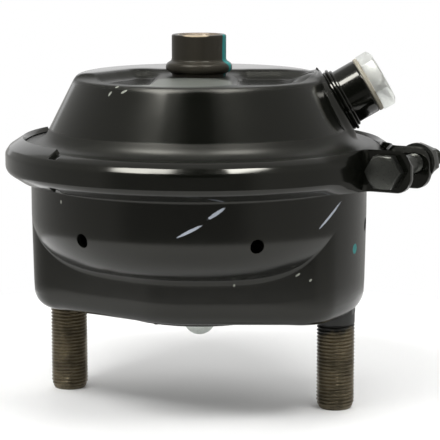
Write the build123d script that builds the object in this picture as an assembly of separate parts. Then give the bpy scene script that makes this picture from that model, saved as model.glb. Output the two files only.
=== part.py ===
from build123d import *
import math
import os

# Air brake chamber: a service chamber for a disc brake, diaphragm type, size 16.
# Frame: origin in the centre of the mounting face, +Z up along the chamber's axis,
# +X along the line of the two mounting studs. Millimetres and degrees.

# ---- pressings -------------------------------------------------------------
WALL = 2.2                  # sheet thickness of the housing and the cover
FLOOR = 3.0                 # mounting floor of the housing
STUD_EDGE = 10.975          # stud axis to the outside of the cylindrical wall
BOWL_TOP = 41.0             # where the wall starts to turn into the bowl
BOWL_CORNER_R = 20.0        # outside radius of the bowl's turn
BEND_R = 3.0                # bends of the clamped flanges
BASE_DRAFT = 1.0            # draft of the base wall, degrees
BASE_FLAT_IN = 19.7         # the long sides, in from the wall at the centre, before rounding
BASE_SIDE_ANGLE = 16.2      # slope of the base's long sides
BASE_MID_R = 40.0           # plan radius in the middle of the long sides
BASE_CORNER_R = 16.0        # plan radius where the sides meet the stud columns
BASE_EDGE_R = 8.0           # outside edge round the mounting face
FLOOR_EDGE_R = 2.5          # inside edge round the floor
OPENING_R = 33.0            # opening in the floor for the push rod and its gaiter
VENT_R = 2.9
VENT_DROP = 4.0             # vents below the start of the bowl's turn
VENT_COUNT = 6
VENT_START = 6.0

# ---- joint between housing and cover ---------------------------------------
WALL_HEIGHT = 23.2          # from the bowl's turn up to the parting plane
FLANGE_REACH = 8.0          # rim of both flanges, out from the wall
CLAMP_T = 2.2               # thickness of the clamp ring
CLAMP_RIM_GAP = 0.5         # flange rim to the inside of the ring's web
CLAMP_HALF_WEB = 4.3        # half height of the ring's outer web
CLAMP_SLOPE = 33.0          # slope of the ring's flanges, from the parting plane
CLAMP_TOP_RUN = 5.0         # radial run of the upper flange
CLAMP_TALL_RUN = 7.4        # the same, on the hinge section opposite the bolt
CLAMP_LOW_RUN = 6.0         # radial run of the lower flange
CLAMP_EDGE_R = 1.6          # outside bend of the ring's section
SEAT_GAP = 0.05             # gap between the ring and the flanges
HINGE_START = 110.0         # hinge section, from the clamp bolt
HINGE_SWEEP = 68.0
HINGE_NOTCH = 3.0           # width of the relief notches beside it, degrees
HINGE_OVERLAP = 1.0         # how far the web runs on past each notch, degrees

# ---- clamp bolt ------------------------------------------------------------
BOLT_ANGLE = -11.3          # direction of the clamp bolt from the stud line
BOLT_OUT = 8.3              # bolt axis, out from the ring
BOLT_RISE = 0.4             # bolt axis above the parting plane
BOLT_R = 4.0
BOLT_FLATS = 13.0
BOLT_HEAD = 5.5
BOLT_LENGTH = 52.0
BOLT_CHAMFER = 0.8
BOLT_HOLE_GAP = 0.4
NUT_HEIGHT = 6.8
NUT_TURN = 20.0
WASHER_OUT = 4.0            # rim of the washer, out from the bolt
WASHER_T = 1.6
LUG_T = 3.0                 # thickness of the two lugs
LUG_NEAR = -10.0            # outer face of the lug under the bolt head
LUG_FAR = 22.0              # outer face of the lug under the nut
LUG_TIP = 10.2              # lug tips, out from the bolt axis
LUG_HALF = 8.5              # half height of a lug
LUG_CORNER = 5.5            # bevel of the lug's outer corners
LUG_FOOT = 20.0             # length of the lug's foot on the web
LUG_BEND_R = 1.6
LUG_RELIEF = 4.0            # the ring's flanges stop this short of a lug, degrees

# ---- cover -----------------------------------------------------------------
COVER_HEIGHT = 36.0         # raised rear plateau, above the parting plane
STEP_DEPTH = 2.2            # lower front part of the top, below the plateau
POCKET_DEPTH = 4.8          # floor of the two pockets, below the plateau
COVER_TOP_IN = 27.9         # cone at the plateau, in from the flange rim, before rounding
COVER_CONE = 27.0           # cone angle from the axis
COVER_SHOULDER_R = 8.0
SKIRT_HEIGHT = 6.8          # flat ring outside the foot of the cone, above the parting plane
COVER_FOOT_R = 7.0
STEP_SLOPE = 40.0           # slope of the walls between the levels
STEP_CORNER_R = 5.0
POCKET_CORNER_R = 3.5
COVER_ANGLE = 17.0          # direction of the side port from the stud line

# Plans of the stamped levels, +X towards the side port, +Y towards the plateau.
STEP_PLAN = [(-66, -70), (66, -70), (64, -28), (49, -15), (45, 6), (37, 13), (12, 13),
             (-16, 15), (-25, 19), (-33, 8), (-43, -6), (-66, -14)]
RIGHT_POCKET = [(11, -37), (29, -34), (41, -22), (43, -8), (41, 6), (34, 11.5), (17, 11.5), (13, 2)]
LEFT_POCKET = [(-21, -37), (-19, 12), (-25, 17), (-33, 6), (-41, -7), (-39, -19), (-32, -30)]

# ---- ports -----------------------------------------------------------------
THREAD_R = 7.25             # wall of the M16 x 1.5 port threads
THREAD_DEPTH = 13.0
PORT_MOUTH = 1.95           # bevel at the mouth of a port
PORT_DRILL_R = 4.5
BOSS_EDGE = 0.5             # bevel round a boss's face
AXIAL_WALL = 4.25
AXIAL_HEIGHT = 18.0         # above the cover's front level
AXIAL_BEAD_OUT = 2.0        # weld bead round the boss's foot
AXIAL_BEAD_RISE = 4.3
AXIAL_BEAD_H = 4.2
AXIAL_TAIL = 4.0            # part of the boss below the cover's front level
SIDE_WALL = 4.75
SIDE_TILT = 30.0            # side port axis above the parting plane
SIDE_FACE_OUT = 19.3        # centre of the side port's face, out from the cone at the plateau
SIDE_FACE_DROP = 5.9        # the same, below the plateau
SIDE_FREE = 9.7             # boss length outside its collar
SIDE_COLLAR_OUT = (1.0, 2.2, 1.7)   # the collar's three rings, out from the boss
SIDE_COLLAR_RING = 1.3      # width of each ring
COLLAR_EDGE_R = 0.4
SIDE_SEAT_OUT = 3.2         # raised seat in the cover, out from the boss
PLUG_FLATS = 22.0
PLUG_HEAD = 6.3
PLUG_SHANK = 10.0
PLUG_CHAMFER = 1.0
PLUG_TURN = 15.0
SEAL_RING_OUT = 0.2         # seal ring, out from the boss
SEAL_RING_T = 1.8
SEAL_RING_EDGE_R = 0.5
HEX_TURNED = 0.585          # a hexagon's turned corner: radius, and its bevel, per unit of flats
HEX_BEVEL_H = 0.045
HEX_BEVEL_R = 0.085

# ---- studs and floor parts -------------------------------------------------
STUD_SPACING = 120.65
STUD_R = 8.0                # M16
STUD_FREE = 41.0            # below the mounting face
STUD_CHAMFER = 1.6
STUD_NECK_OUT = 0.3         # plain neck in the floor and the plate, out from the thread
STUD_HEAD_OUT = 2.5
STUD_HEAD_H = 5.0
STUD_HOLE_GAP = 0.05
PLATE_T = 4.0               # reinforcing plate that carries the stud heads
PLATE_GAP = 0.3
PLATE_EDGE = 2.5

# ---- diaphragm, spring, push plate and rod ---------------------------------
DIAPHRAGM_T = 2.6
DIAPHRAGM_GAP = 0.4
BEAD_DEPTH = 4.8            # clamped bead, in from the flange rim
BEAD_R = 1.0
DISC_IN = 5.4               # rim of the push plate, in from the cone at the plateau
DISC_T = 3.0
DISC_RIM_H = 7.0
DISC_EDGE_R = 2.5
DISC_GAP = 0.2
ROD_R = 7.0
ROD_DROP = 13.3             # ball end of the rod below the mounting face
ROD_SOCKET = 2.0            # depth the rod enters the disc
HUB_WALL = 5.0
HUB_H = 7.0
HUB_CHAMFER = 2.0
SPRING_WIRE_R = 1.9
SPRING_LOW_IN = 7.1         # large end of the spring, in from the base's long sides
SPRING_HIGH_OUT = 12.0      # small end, out from the hub
SPRING_TURNS = 5
SPRING_SEAT_T = 1.5
SPRING_SEAT_OUT = 0.3
SPRING_SEAT_IN = 1.5
SPRING_SEAT_LIP = 2.0
SPRING_GAP = 0.3
LIP_OUT = 2.5               # sealing lip, out from the opening
LIP_DROP = 2.4              # lip below the mounting face
LIP_SEAT_GAP = 0.3          # shallow seat of the lip in the floor
LIP_SEAT_DEPTH = 0.6
LIP_EDGE_R = 1.1
GAITER_WALL = 1.2
GAITER_LOW_IN = 4.0         # lowest fold, in from the opening
GAITER_HIGH_OUT = 10.0      # highest fold, out from the rod
GAITER_FOLD = 6.0
GAITER_FOLDS = 8
GAITER_FOOT_OUT = 2.0
GAITER_FOOT_H = 2.0
GAITER_NECK_H = 1.0
GAITER_SLEEVE = 5.0         # length of the gaiter's sleeve on the rod
RETAINER_IN = 1.0           # retainer, in from the opening
RETAINER_GAP = 2.6          # retainer to the spring seat
RETAINER_T = 1.5
CLIP_T = 1.8
CLIP_H = 3.0

# ---- sizes that follow from those above --------------------------------------
TAN_SLOPE = math.tan(math.radians(CLAMP_SLOPE))
COS_SLOPE = math.cos(math.radians(CLAMP_SLOPE))
TAN_CONE = math.tan(math.radians(COVER_CONE))
COS_CONE = math.cos(math.radians(COVER_CONE))
STUD_X = STUD_SPACING / 2
HOUSING_R = STUD_X + STUD_EDGE
BASE_HALF_DEPTH = HOUSING_R - BASE_FLAT_IN
BOWL_FLOOR = BOWL_TOP - BOWL_CORNER_R
JOINT_Z = BOWL_TOP + WALL_HEIGHT
FLANGE_R = HOUSING_R + FLANGE_REACH
CLAMP_R = FLANGE_R + CLAMP_RIM_GAP + CLAMP_T
BOLT_RADIUS = CLAMP_R + BOLT_OUT
BOLT_Z = JOINT_Z + BOLT_RISE
COVER_TOP = JOINT_Z + COVER_HEIGHT
COVER_STEP = COVER_TOP - STEP_DEPTH
COVER_POCKET = COVER_TOP - POCKET_DEPTH
COVER_SKIRT_Z = JOINT_Z + SKIRT_HEIGHT
COVER_TOP_R = FLANGE_R - COVER_TOP_IN
AXIAL_R = THREAD_R + AXIAL_WALL
AXIAL_TOP = COVER_STEP + AXIAL_HEIGHT
SIDE_R = THREAD_R + SIDE_WALL
SIDE_SEAT_R = SIDE_R + SIDE_SEAT_OUT
STUD_NECK_R = STUD_R + STUD_NECK_OUT
STUD_HOLE_R = STUD_NECK_R + STUD_HOLE_GAP
PLATE_TOP = FLOOR + PLATE_T
DIAPHRAGM_TOP = COVER_POCKET - WALL - DIAPHRAGM_GAP
DISC_R = COVER_TOP_R - DISC_IN
DISC_TOP = DIAPHRAGM_TOP - DIAPHRAGM_T - DISC_GAP
DISC_UNDER = DISC_TOP - DISC_T
HUB_R = ROD_R + HUB_WALL
SPRING_LOW_R = BASE_HALF_DEPTH - SPRING_LOW_IN
SPRING_SEAT_R = SPRING_LOW_R - SPRING_WIRE_R - SPRING_SEAT_IN
SPRING_HIGH_R = HUB_R + SPRING_HIGH_OUT
LIP_R = OPENING_R + LIP_OUT
GAITER_LOW_R = OPENING_R - GAITER_LOW_IN
GAITER_HIGH_R = ROD_R + GAITER_HIGH_OUT
GAITER_TOP = DISC_UNDER - HUB_H


def section(*edges):
    """A closed outline in the plane of the axis: x is the radius, y the height."""
    return Plane.XZ * make_face(Curve() + list(edges))


def turned(*edges):
    return revolve(section(*edges), Axis.Z, 360)


def clamp_height(radius, inset):
    """Height of the ring's inner flange face above the parting plane, moved in by inset."""
    face = CLAMP_HALF_WEB + (CLAMP_R - radius) * TAN_SLOPE
    return face - (CLAMP_T + inset) / COS_SLOPE


def clamp_radius(height, inset):
    """The radius at which clamp_height has a given value."""
    face = height + (CLAMP_T + inset) / COS_SLOPE
    return CLAMP_R - (face - CLAMP_HALF_WEB) / TAN_SLOPE


# ---- lower housing ---------------------------------------------------------
def base_outline(inset, height):
    """Plan of the base wall at a height: the round of the housing, cut by four sloping sides."""
    shrink = inset + (BOWL_TOP - height) * math.tan(math.radians(BASE_DRAFT))
    slope = math.tan(math.radians(BASE_SIDE_ANGLE))
    depth = BASE_HALF_DEPTH - shrink / math.cos(math.radians(BASE_SIDE_ANGLE))
    reach = HOUSING_R + WALL
    end = depth - reach * slope
    corners = [(0, depth), (-reach, end), (-reach, -end), (0, -depth), (reach, -end), (reach, end)]
    plan = make_face(Polyline(*corners, close=True))
    plan = fillet([v for v in plan.vertices() if abs(v.X) < 1], BASE_MID_R - inset)
    plan = plan & Circle(HOUSING_R - shrink)
    return fillet(plan.vertices().filter_by(lambda v: abs(v.X) > STUD_X), BASE_CORNER_R - inset)


def base_block(inset, low):
    plan = Pos(0, 0, low) * base_outline(inset, low)
    return extrude(plan, BOWL_TOP - low, taper=-BASE_DRAFT)


def bowl(inset, top):
    """Bowl, wall and flared flange as a solid of revolution, moved in by inset."""
    low = BOWL_FLOOR + inset
    wall = HOUSING_R - inset
    flare = JOINT_Z - clamp_height(wall, SEAT_GAP + inset)
    rim = JOINT_Z - clamp_height(FLANGE_R, SEAT_GAP + inset)
    path = FilletPolyline((0, low), (wall, low), (wall, flare), (FLANGE_R, rim),
                          radius=[BOWL_CORNER_R - inset, BEND_R + inset])
    ends = [(FLANGE_R, rim), (FLANGE_R, top), (0, top), (0, low)]
    if abs(rim - top) < 1e-6:
        ends = ends[1:]
    return turned(path, Polyline(*ends))


def lower_housing():
    rim = JOINT_Z - clamp_height(FLANGE_R, SEAT_GAP + WALL)
    outer = base_block(0, 0)
    outer = fillet(outer.faces().sort_by(Axis.Z)[0].edges(), BASE_EDGE_R)
    outer = outer + bowl(0, rim)
    inner = base_block(WALL, FLOOR)
    inner = fillet(inner.faces().sort_by(Axis.Z)[0].edges(), FLOOR_EDGE_R)
    inner = inner + bowl(WALL, rim)
    shell = outer - inner
    shell -= Cylinder(OPENING_R, 4 * FLOOR)
    shell -= Cylinder(LIP_R + LIP_SEAT_GAP, 2 * LIP_SEAT_DEPTH)
    for side in (-1, 1):
        shell -= Pos(side * STUD_X, 0, 0) * Cylinder(STUD_HOLE_R, 2 * (PLATE_TOP + SEAT_GAP))
    for turn in range(VENT_COUNT):
        drill = Pos(HOUSING_R, 0, BOWL_TOP - VENT_DROP) * Rot(0, 90, 0) * Cylinder(VENT_R, 6 * WALL)
        shell -= Rot(0, 0, VENT_START + turn * 360 / VENT_COUNT) * drill
    return shell


def stud_plate():
    """Reinforcing plate on the floor: it carries the stud heads and the spring."""
    plan = Pos(0, 0, FLOOR) * base_outline(WALL + PLATE_GAP, FLOOR)
    plate = extrude(plan, PLATE_T)
    plate = chamfer(plate.faces().sort_by(Axis.Z)[0].edges(), PLATE_EDGE)
    plate -= Pos(0, 0, FLOOR) * Cylinder(OPENING_R, 4 * PLATE_T)
    for side in (-1, 1):
        plate -= Pos(side * STUD_X, 0, FLOOR) * Cylinder(STUD_HOLE_R, 4 * PLATE_T)
    return plate


def mounting_studs():
    """Two M16 studs, each with a round head that is cut flat beside the housing wall."""
    studs = []
    wall = HOUSING_R - WALL - PLATE_GAP - BOWL_TOP * math.tan(math.radians(BASE_DRAFT))
    for side in (-1, 1):
        shank = Pos(0, 0, -STUD_FREE) * Cylinder(
            STUD_R, STUD_FREE, align=(Align.CENTER, Align.CENTER, Align.MIN))
        shank = chamfer(shank.edges().sort_by(Axis.Z)[0], STUD_CHAMFER)
        neck = Cylinder(STUD_NECK_R, PLATE_TOP, align=(Align.CENTER, Align.CENTER, Align.MIN))
        head = Pos(0, 0, PLATE_TOP) * Cylinder(
            STUD_R + STUD_HEAD_OUT, STUD_HEAD_H, align=(Align.CENTER, Align.CENTER, Align.MIN))
        flat = Pos(side * (wall - STUD_X + STUD_R), 0, PLATE_TOP + STUD_HEAD_H / 2)
        head -= flat * Box(2 * STUD_R, 4 * STUD_R, 2 * STUD_HEAD_H)
        studs.append(Pos(side * STUD_X, 0, 0) * (shank + neck + head))
    return Compound(children=studs)


# ---- cover -----------------------------------------------------------------
def cone_radius(height, inset):
    """Radius of the cover's cone, moved in by inset."""
    return COVER_TOP_R + (COVER_TOP - height) * TAN_CONE - inset / COS_CONE


def cover_body(inset, low):
    """Cone, shoulder and flange of the cover as a solid of revolution, moved in by inset."""
    top = COVER_TOP - inset
    skirt = COVER_SKIRT_Z - inset
    edge = clamp_radius(skirt - JOINT_Z, SEAT_GAP + inset)
    rim = JOINT_Z + clamp_height(FLANGE_R, SEAT_GAP + inset)
    path = FilletPolyline((0, top), (cone_radius(top, inset), top),
                          (cone_radius(skirt, inset), skirt), (edge, skirt), (FLANGE_R, rim),
                          radius=[COVER_SHOULDER_R - inset, COVER_FOOT_R + inset, BEND_R - inset])
    ends = [(FLANGE_R, rim), (FLANGE_R, low), (0, low), (0, top)]
    if abs(rim - low) < 1e-6:
        ends = ends[1:]
    return turned(path, Polyline(*ends))


def stamped(corners, corner_r, level, inset):
    """The space above a stamped floor: sloping walls, rounded corners, moved in by inset."""
    plan = fillet(make_face(Polyline(*corners, close=True)).vertices(), corner_r)
    if inset:
        plan = offset(plan, inset)
    floor = level - inset
    return extrude(Pos(0, 0, floor) * plan, COVER_TOP + WALL - floor, taper=-STEP_SLOPE)


def cover_low_ground(inset):
    """All the space that lies below the plateau: the front step and two deeper pockets."""
    ground = stamped(STEP_PLAN, STEP_CORNER_R, COVER_STEP, inset)
    ground += stamped(RIGHT_POCKET, POCKET_CORNER_R, COVER_POCKET, inset)
    return ground + stamped(LEFT_POCKET, POCKET_CORNER_R, COVER_POCKET, inset)


def port_frame():
    """Frame on the side port's face, z along the port's axis, outwards."""
    out = Vector(math.cos(math.radians(SIDE_TILT)), 0, math.sin(math.radians(SIDE_TILT)))
    centre = (COVER_TOP_R + SIDE_FACE_OUT, 0, COVER_TOP - SIDE_FACE_DROP)
    face = Plane(origin=centre, x_dir=(0, 1, 0), z_dir=out)
    return Plane(Rot(0, 0, COVER_ANGLE) * face.location)


def along(depth, radius, length):
    """A cylinder on the side port's axis, its outer end at a depth below the port's face."""
    rod = Cylinder(radius, length, align=(Align.CENTER, Align.CENTER, Align.MAX))
    return port_frame() * Pos(0, 0, -depth) * rod


def side_seat(inset):
    depth = SIDE_FREE + 3 * SIDE_COLLAR_RING
    return along(depth + inset, SIDE_SEAT_R - inset, 2 * SIDE_SEAT_R)


def cover():
    rim = JOINT_Z + clamp_height(FLANGE_R, SEAT_GAP + WALL)
    turn = Rot(0, 0, COVER_ANGLE)
    hull = Pos(0, 0, rim) * Cylinder(
        CLAMP_R, COVER_TOP, align=(Align.CENTER, Align.CENTER, Align.MIN))
    outer = cover_body(0, rim) - turn * cover_low_ground(0) + (side_seat(0) & hull)
    inner = cover_body(WALL, rim) - turn * cover_low_ground(WALL) + (side_seat(WALL) & hull)
    shell = outer - inner
    shell -= Pos(0, 0, COVER_STEP) * Cylinder(AXIAL_R, 4 * AXIAL_TAIL)
    return shell - along(SIDE_FREE, SIDE_R, 2 * SIDE_SEAT_R)


# ---- ports -----------------------------------------------------------------
def port_bore(top):
    """Bore of a port in the plane of its axis: mouth bevel, thread wall, drilled tail."""
    low = top - PORT_MOUTH - THREAD_DEPTH
    cut = Polyline((0, top), (THREAD_R + PORT_MOUTH, top), (THREAD_R, top - PORT_MOUTH),
                   (THREAD_R, low), (PORT_DRILL_R, low), (PORT_DRILL_R, low - THREAD_DEPTH),
                   (0, low - THREAD_DEPTH), (0, top))
    return turned(cut)


def axial_port_boss():
    low = COVER_STEP - AXIAL_TAIL
    bead = COVER_STEP + AXIAL_BEAD_RISE
    bead_low = bead - AXIAL_BEAD_H / 2
    bead_high = bead + AXIAL_BEAD_H / 2
    body = turned(
        Polyline((AXIAL_R, bead_high), (AXIAL_R, AXIAL_TOP), (0, AXIAL_TOP), (0, low),
                 (AXIAL_R, low), (AXIAL_R, bead_low)),
        Spline((AXIAL_R, bead_low), (AXIAL_R + AXIAL_BEAD_OUT, bead), (AXIAL_R, bead_high),
               tangents=[(1, 0.4), (-1, 0.4)]))
    body = chamfer(body.edges().sort_by(Axis.Z)[-1], BOSS_EDGE)
    return body - port_bore(AXIAL_TOP)


def side_port_boss():
    """Angled boss with the three rings of its collar, on the raised seat of the cover."""
    body = Cylinder(SIDE_R, SIDE_FREE + 3 * SIDE_COLLAR_RING + WALL,
                    align=(Align.CENTER, Align.CENTER, Align.MAX))
    body = chamfer(body.edges().sort_by(Axis.Z)[-1], BOSS_EDGE)
    for ring, out in enumerate(SIDE_COLLAR_OUT):
        disc = Cylinder(SIDE_R + out, SIDE_COLLAR_RING,
                        align=(Align.CENTER, Align.CENTER, Align.MAX))
        disc = fillet(disc.edges(), COLLAR_EDGE_R)
        body += Pos(0, 0, -SIDE_FREE - ring * SIDE_COLLAR_RING) * disc
    return port_frame() * (body - port_bore(0))


def hexagon(flats):
    return RegularPolygon(flats / math.sqrt(3), 6)


def hex_head(flats, height):
    """A hexagon with the bevelled corners of a turned head, standing on z = 0."""
    block = extrude(hexagon(flats), height)
    turning = Cylinder(flats * HEX_TURNED, height, align=(Align.CENTER, Align.CENTER, Align.MIN))
    rim = turning.edges().sort_by(Axis.Z)[-1]
    return block & chamfer(rim, flats * HEX_BEVEL_H, flats * HEX_BEVEL_R)


def plug_seal_ring():
    ring = Cylinder(SIDE_R + SEAL_RING_OUT, SEAL_RING_T,
                    align=(Align.CENTER, Align.CENTER, Align.MIN))
    ring -= Cylinder(THREAD_R + SEAT_GAP, 4 * SEAL_RING_T)
    return port_frame() * fillet(ring.edges().group_by(SortBy.LENGTH)[-1], SEAL_RING_EDGE_R)


def port_plug():
    shank = Cylinder(THREAD_R - SEAT_GAP, PLUG_SHANK + SEAL_RING_T,
                     align=(Align.CENTER, Align.CENTER, Align.MAX))
    shank = chamfer(shank.edges().sort_by(Axis.Z)[0], PLUG_CHAMFER)
    plug = Rot(0, 0, PLUG_TURN) * hex_head(PLUG_FLATS, PLUG_HEAD) + shank
    return port_frame() * Pos(0, 0, SEAL_RING_T) * plug


# ---- clamp -----------------------------------------------------------------
def clamp_section(top_run, low_run):
    """Section of the ring: outer web, two sloping flanges, even thickness."""
    high = JOINT_Z + CLAMP_HALF_WEB
    low = JOINT_Z - CLAMP_HALF_WEB
    dx = CLAMP_T * math.sin(math.radians(CLAMP_SLOPE))
    dz = CLAMP_T * COS_SLOPE
    web = CLAMP_R - CLAMP_T
    half = clamp_height(web, 0)
    tip = (CLAMP_R - top_run, high + top_run * TAN_SLOPE)
    toe = (CLAMP_R - low_run, low - low_run * TAN_SLOPE)
    outside = FilletPolyline(tip, (CLAMP_R, high), (CLAMP_R, low), toe, radius=CLAMP_EDGE_R)
    inside = Polyline(toe, (toe[0] - dx, toe[1] + dz), (web, JOINT_Z - half), (web, JOINT_Z + half),
                      (tip[0] - dx, tip[1] - dz), tip)
    return section(outside, inside)


def clamp_arc(top_run, low_run, start, sweep):
    face = clamp_section(top_run, low_run)
    return Rot(0, 0, BOLT_ANGLE + start) * revolve(face, Axis.Z, sweep)


def clamp_lug(face, sign):
    """A lug square to the bolt: the ring's web bends out into a bevelled upright plate."""
    back = face - sign * LUG_T
    foot = face + sign * LUG_FOOT
    web = CLAMP_R - CLAMP_T
    corner = math.sqrt(CLAMP_R ** 2 - face ** 2)
    heel = math.sqrt(web ** 2 - back ** 2)
    tip = BOLT_RADIUS + LUG_TIP
    plan = make_face(Polyline(
        (math.sqrt(CLAMP_R ** 2 - foot ** 2), foot), (corner, face), (tip, face), (tip, back),
        (heel, back), (math.sqrt(web ** 2 - foot ** 2), foot), close=True))
    plan = fillet([v for v in plan.vertices() if abs(v.X - corner) < 0.01], LUG_BEND_R)
    plan = fillet([v for v in plan.vertices() if abs(v.X - heel) < 0.01], LUG_BEND_R + LUG_T)
    lug = extrude(Pos(0, 0, BOLT_Z - LUG_HALF) * plan, 2 * LUG_HALF)
    tips = lug.edges().filter_by(Axis.Y).group_by(Axis.X)[-1]
    lug = chamfer(tips, LUG_CORNER)
    hole = Pos(BOLT_RADIUS, face, BOLT_Z) * Rot(90, 0, 0) * Cylinder(
        BOLT_R + BOLT_HOLE_GAP, 4 * LUG_T)
    return Rot(0, 0, BOLT_ANGLE) * (lug - hole - Cylinder(web, 4 * JOINT_Z))


def clamp_ring():
    """One-piece ring, open at the bolt, with a taller hinge section between two notches."""
    near = math.degrees(math.asin(LUG_NEAR / CLAMP_R)) - LUG_RELIEF
    far = math.degrees(math.asin(LUG_FAR / CLAMP_R)) + LUG_RELIEF
    hinge = -HINGE_START - HINGE_SWEEP
    notch = HINGE_NOTCH
    ring = clamp_arc(CLAMP_TOP_RUN, CLAMP_LOW_RUN, -HINGE_START + notch, HINGE_START - notch + near)
    ring += clamp_arc(CLAMP_TALL_RUN, CLAMP_LOW_RUN, hinge, HINGE_SWEEP)
    ring += clamp_arc(CLAMP_TOP_RUN, CLAMP_LOW_RUN, far, 360 + hinge - notch - far)
    reach = notch + HINGE_OVERLAP
    ring += clamp_arc(CLAMP_EDGE_R, CLAMP_EDGE_R, hinge - reach, HINGE_SWEEP + 2 * reach)
    return ring + clamp_lug(LUG_NEAR, -1) + clamp_lug(LUG_FAR, 1)


def on_bolt(shape, place):
    """Puts a shape that stands along +Z on the bolt's axis, its foot at a place along it."""
    return Rot(0, 0, BOLT_ANGLE) * Pos(BOLT_RADIUS, place, BOLT_Z) * Rot(-90, 0, 0) * shape


def clamp_bolt():
    shank = Cylinder(BOLT_R, BOLT_LENGTH, align=(Align.CENTER, Align.CENTER, Align.MIN))
    shank = chamfer(shank.edges().sort_by(Axis.Z)[-1], BOLT_CHAMFER)
    head = Rot(180, 0, 0) * hex_head(BOLT_FLATS, BOLT_HEAD)
    return on_bolt(head + shank, LUG_NEAR)


def clamp_washer():
    ring = Cylinder(BOLT_R + WASHER_OUT, WASHER_T, align=(Align.CENTER, Align.CENTER, Align.MIN))
    ring -= Cylinder(BOLT_R + BOLT_HOLE_GAP, 4 * WASHER_T)
    return on_bolt(ring, LUG_FAR)


def clamp_nut():
    nut = Rot(0, 0, NUT_TURN) * hex_head(BOLT_FLATS, NUT_HEIGHT)
    nut -= Cylinder(BOLT_R + SEAT_GAP, 4 * NUT_HEIGHT)
    return on_bolt(nut, LUG_FAR + WASHER_T)


# ---- diaphragm, spring, push plate and rod ---------------------------------
def diaphragm():
    """Moulded rubber cup: wedge bead between the flanges, walls along the cover, flat top."""
    bead_in = FLANGE_R - BEAD_DEPTH
    gap = WALL + DIAPHRAGM_GAP
    under = gap + DIAPHRAGM_T
    skirt = COVER_SKIRT_Z - gap
    low_skirt = COVER_SKIRT_Z - under
    bead = clamp_height(FLANGE_R, SEAT_GAP + WALL) - SEAT_GAP
    root = clamp_height(bead_in, SEAT_GAP + WALL) - SEAT_GAP
    top = DIAPHRAGM_TOP
    low_top = DIAPHRAGM_TOP - DIAPHRAGM_T
    upper = FilletPolyline(
        (0, top), (cone_radius(top, gap), top), (cone_radius(skirt, gap), skirt),
        (bead_in, JOINT_Z + root), radius=[COVER_SHOULDER_R, COVER_FOOT_R])
    lower = FilletPolyline(
        (0, low_top), (cone_radius(low_top, under), low_top),
        (cone_radius(low_skirt, under), low_skirt),
        (bead_in - DIAPHRAGM_T, JOINT_Z - root + DIAPHRAGM_T), (bead_in, JOINT_Z - root),
        radius=[COVER_SHOULDER_R - DIAPHRAGM_T, COVER_FOOT_R + DIAPHRAGM_T, BEAD_R])
    edge = Polyline((bead_in, JOINT_Z + root), (FLANGE_R, JOINT_Z + bead),
                    (FLANGE_R, JOINT_Z - bead), (bead_in, JOINT_Z - root))
    return turned(upper, edge, lower, Line((0, low_top), (0, top)))


def push_plate():
    """Stamped disc with a turned-down rim and a welded hub for the rod."""
    inner = DISC_R - DISC_T
    rim = DISC_TOP - DISC_RIM_H
    disc = turned(
        FilletPolyline((0, DISC_TOP), (DISC_R, DISC_TOP), (DISC_R, rim),
                       radius=DISC_EDGE_R + DISC_T),
        Line((DISC_R, rim), (inner, rim)),
        FilletPolyline((inner, rim), (inner, DISC_UNDER), (0, DISC_UNDER), radius=DISC_EDGE_R),
        Line((0, DISC_UNDER), (0, DISC_TOP)))
    hub = Pos(0, 0, DISC_UNDER - HUB_H) * Cylinder(
        HUB_R, HUB_H, align=(Align.CENTER, Align.CENTER, Align.MIN))
    hub = chamfer(hub.edges().sort_by(Axis.Z)[0], HUB_CHAMFER)
    hole = Pos(0, 0, DISC_TOP - DISC_T - HUB_H) * Cylinder(
        ROD_R, HUB_H + ROD_SOCKET, align=(Align.CENTER, Align.CENTER, Align.MIN))
    return disc + hub - hole


def pushrod():
    """Round rod, ball-ended where it bears on the brake lever."""
    tip = -ROD_DROP
    centre = tip + ROD_R
    top = DISC_UNDER + ROD_SOCKET
    return turned(
        RadiusArc((0, tip), (ROD_R, centre), -ROD_R),
        Polyline((ROD_R, centre), (ROD_R, top), (0, top), (0, tip)))


def spring_seat():
    """Thin pressed ring that centres the spring's large end on the reinforcing plate."""
    outer = SPRING_LOW_R + SPRING_WIRE_R + SPRING_SEAT_OUT
    inner = SPRING_SEAT_R
    collar = inner + SPRING_SEAT_T
    base = PLATE_TOP
    step = base + SPRING_SEAT_T
    lip = step + SPRING_SEAT_LIP
    return turned(Polyline((inner, base), (outer, base), (outer, step), (collar, step),
                           (collar, lip), (inner, lip), (inner, base)))


def return_spring():
    """Conical compression spring from its seat on the floor to the push plate."""
    low = PLATE_TOP + SPRING_SEAT_T + SPRING_GAP + SPRING_WIRE_R
    high = DISC_UNDER - SPRING_GAP - SPRING_WIRE_R
    rise = high - low
    cone = math.degrees(math.atan((SPRING_LOW_R - SPRING_HIGH_R) / rise))
    path = Helix(rise / SPRING_TURNS, rise, SPRING_LOW_R, cone_angle=-cone)
    wire = Plane(origin=path @ 0, z_dir=path % 0) * Circle(SPRING_WIRE_R)
    return Pos(0, 0, low) * sweep(wire, path, is_frenet=True)


def gaiter_lip():
    """Sealing lip of the gaiter: it hangs below the mounting face round the opening."""
    neck = OPENING_R - SEAT_GAP
    inner = GAITER_LOW_R - GAITER_WALL
    seat = LIP_SEAT_DEPTH - SEAT_GAP
    foot = FilletPolyline((inner, PLATE_TOP), (inner, -LIP_DROP), (LIP_R, -LIP_DROP),
                          (LIP_R, seat), radius=LIP_EDGE_R)
    return turned(foot, Polyline((LIP_R, seat), (neck, seat), (neck, PLATE_TOP),
                                 (inner, PLATE_TOP)))


def gaiter_retainer():
    """Pressed ring that holds the gaiter's foot to the reinforcing plate."""
    inner = OPENING_R - RETAINER_IN
    outer = SPRING_SEAT_R - RETAINER_GAP
    low = PLATE_TOP
    high = low + RETAINER_T
    return turned(Polyline((inner, low), (outer, low), (outer, high), (inner, high), (inner, low)))


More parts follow.
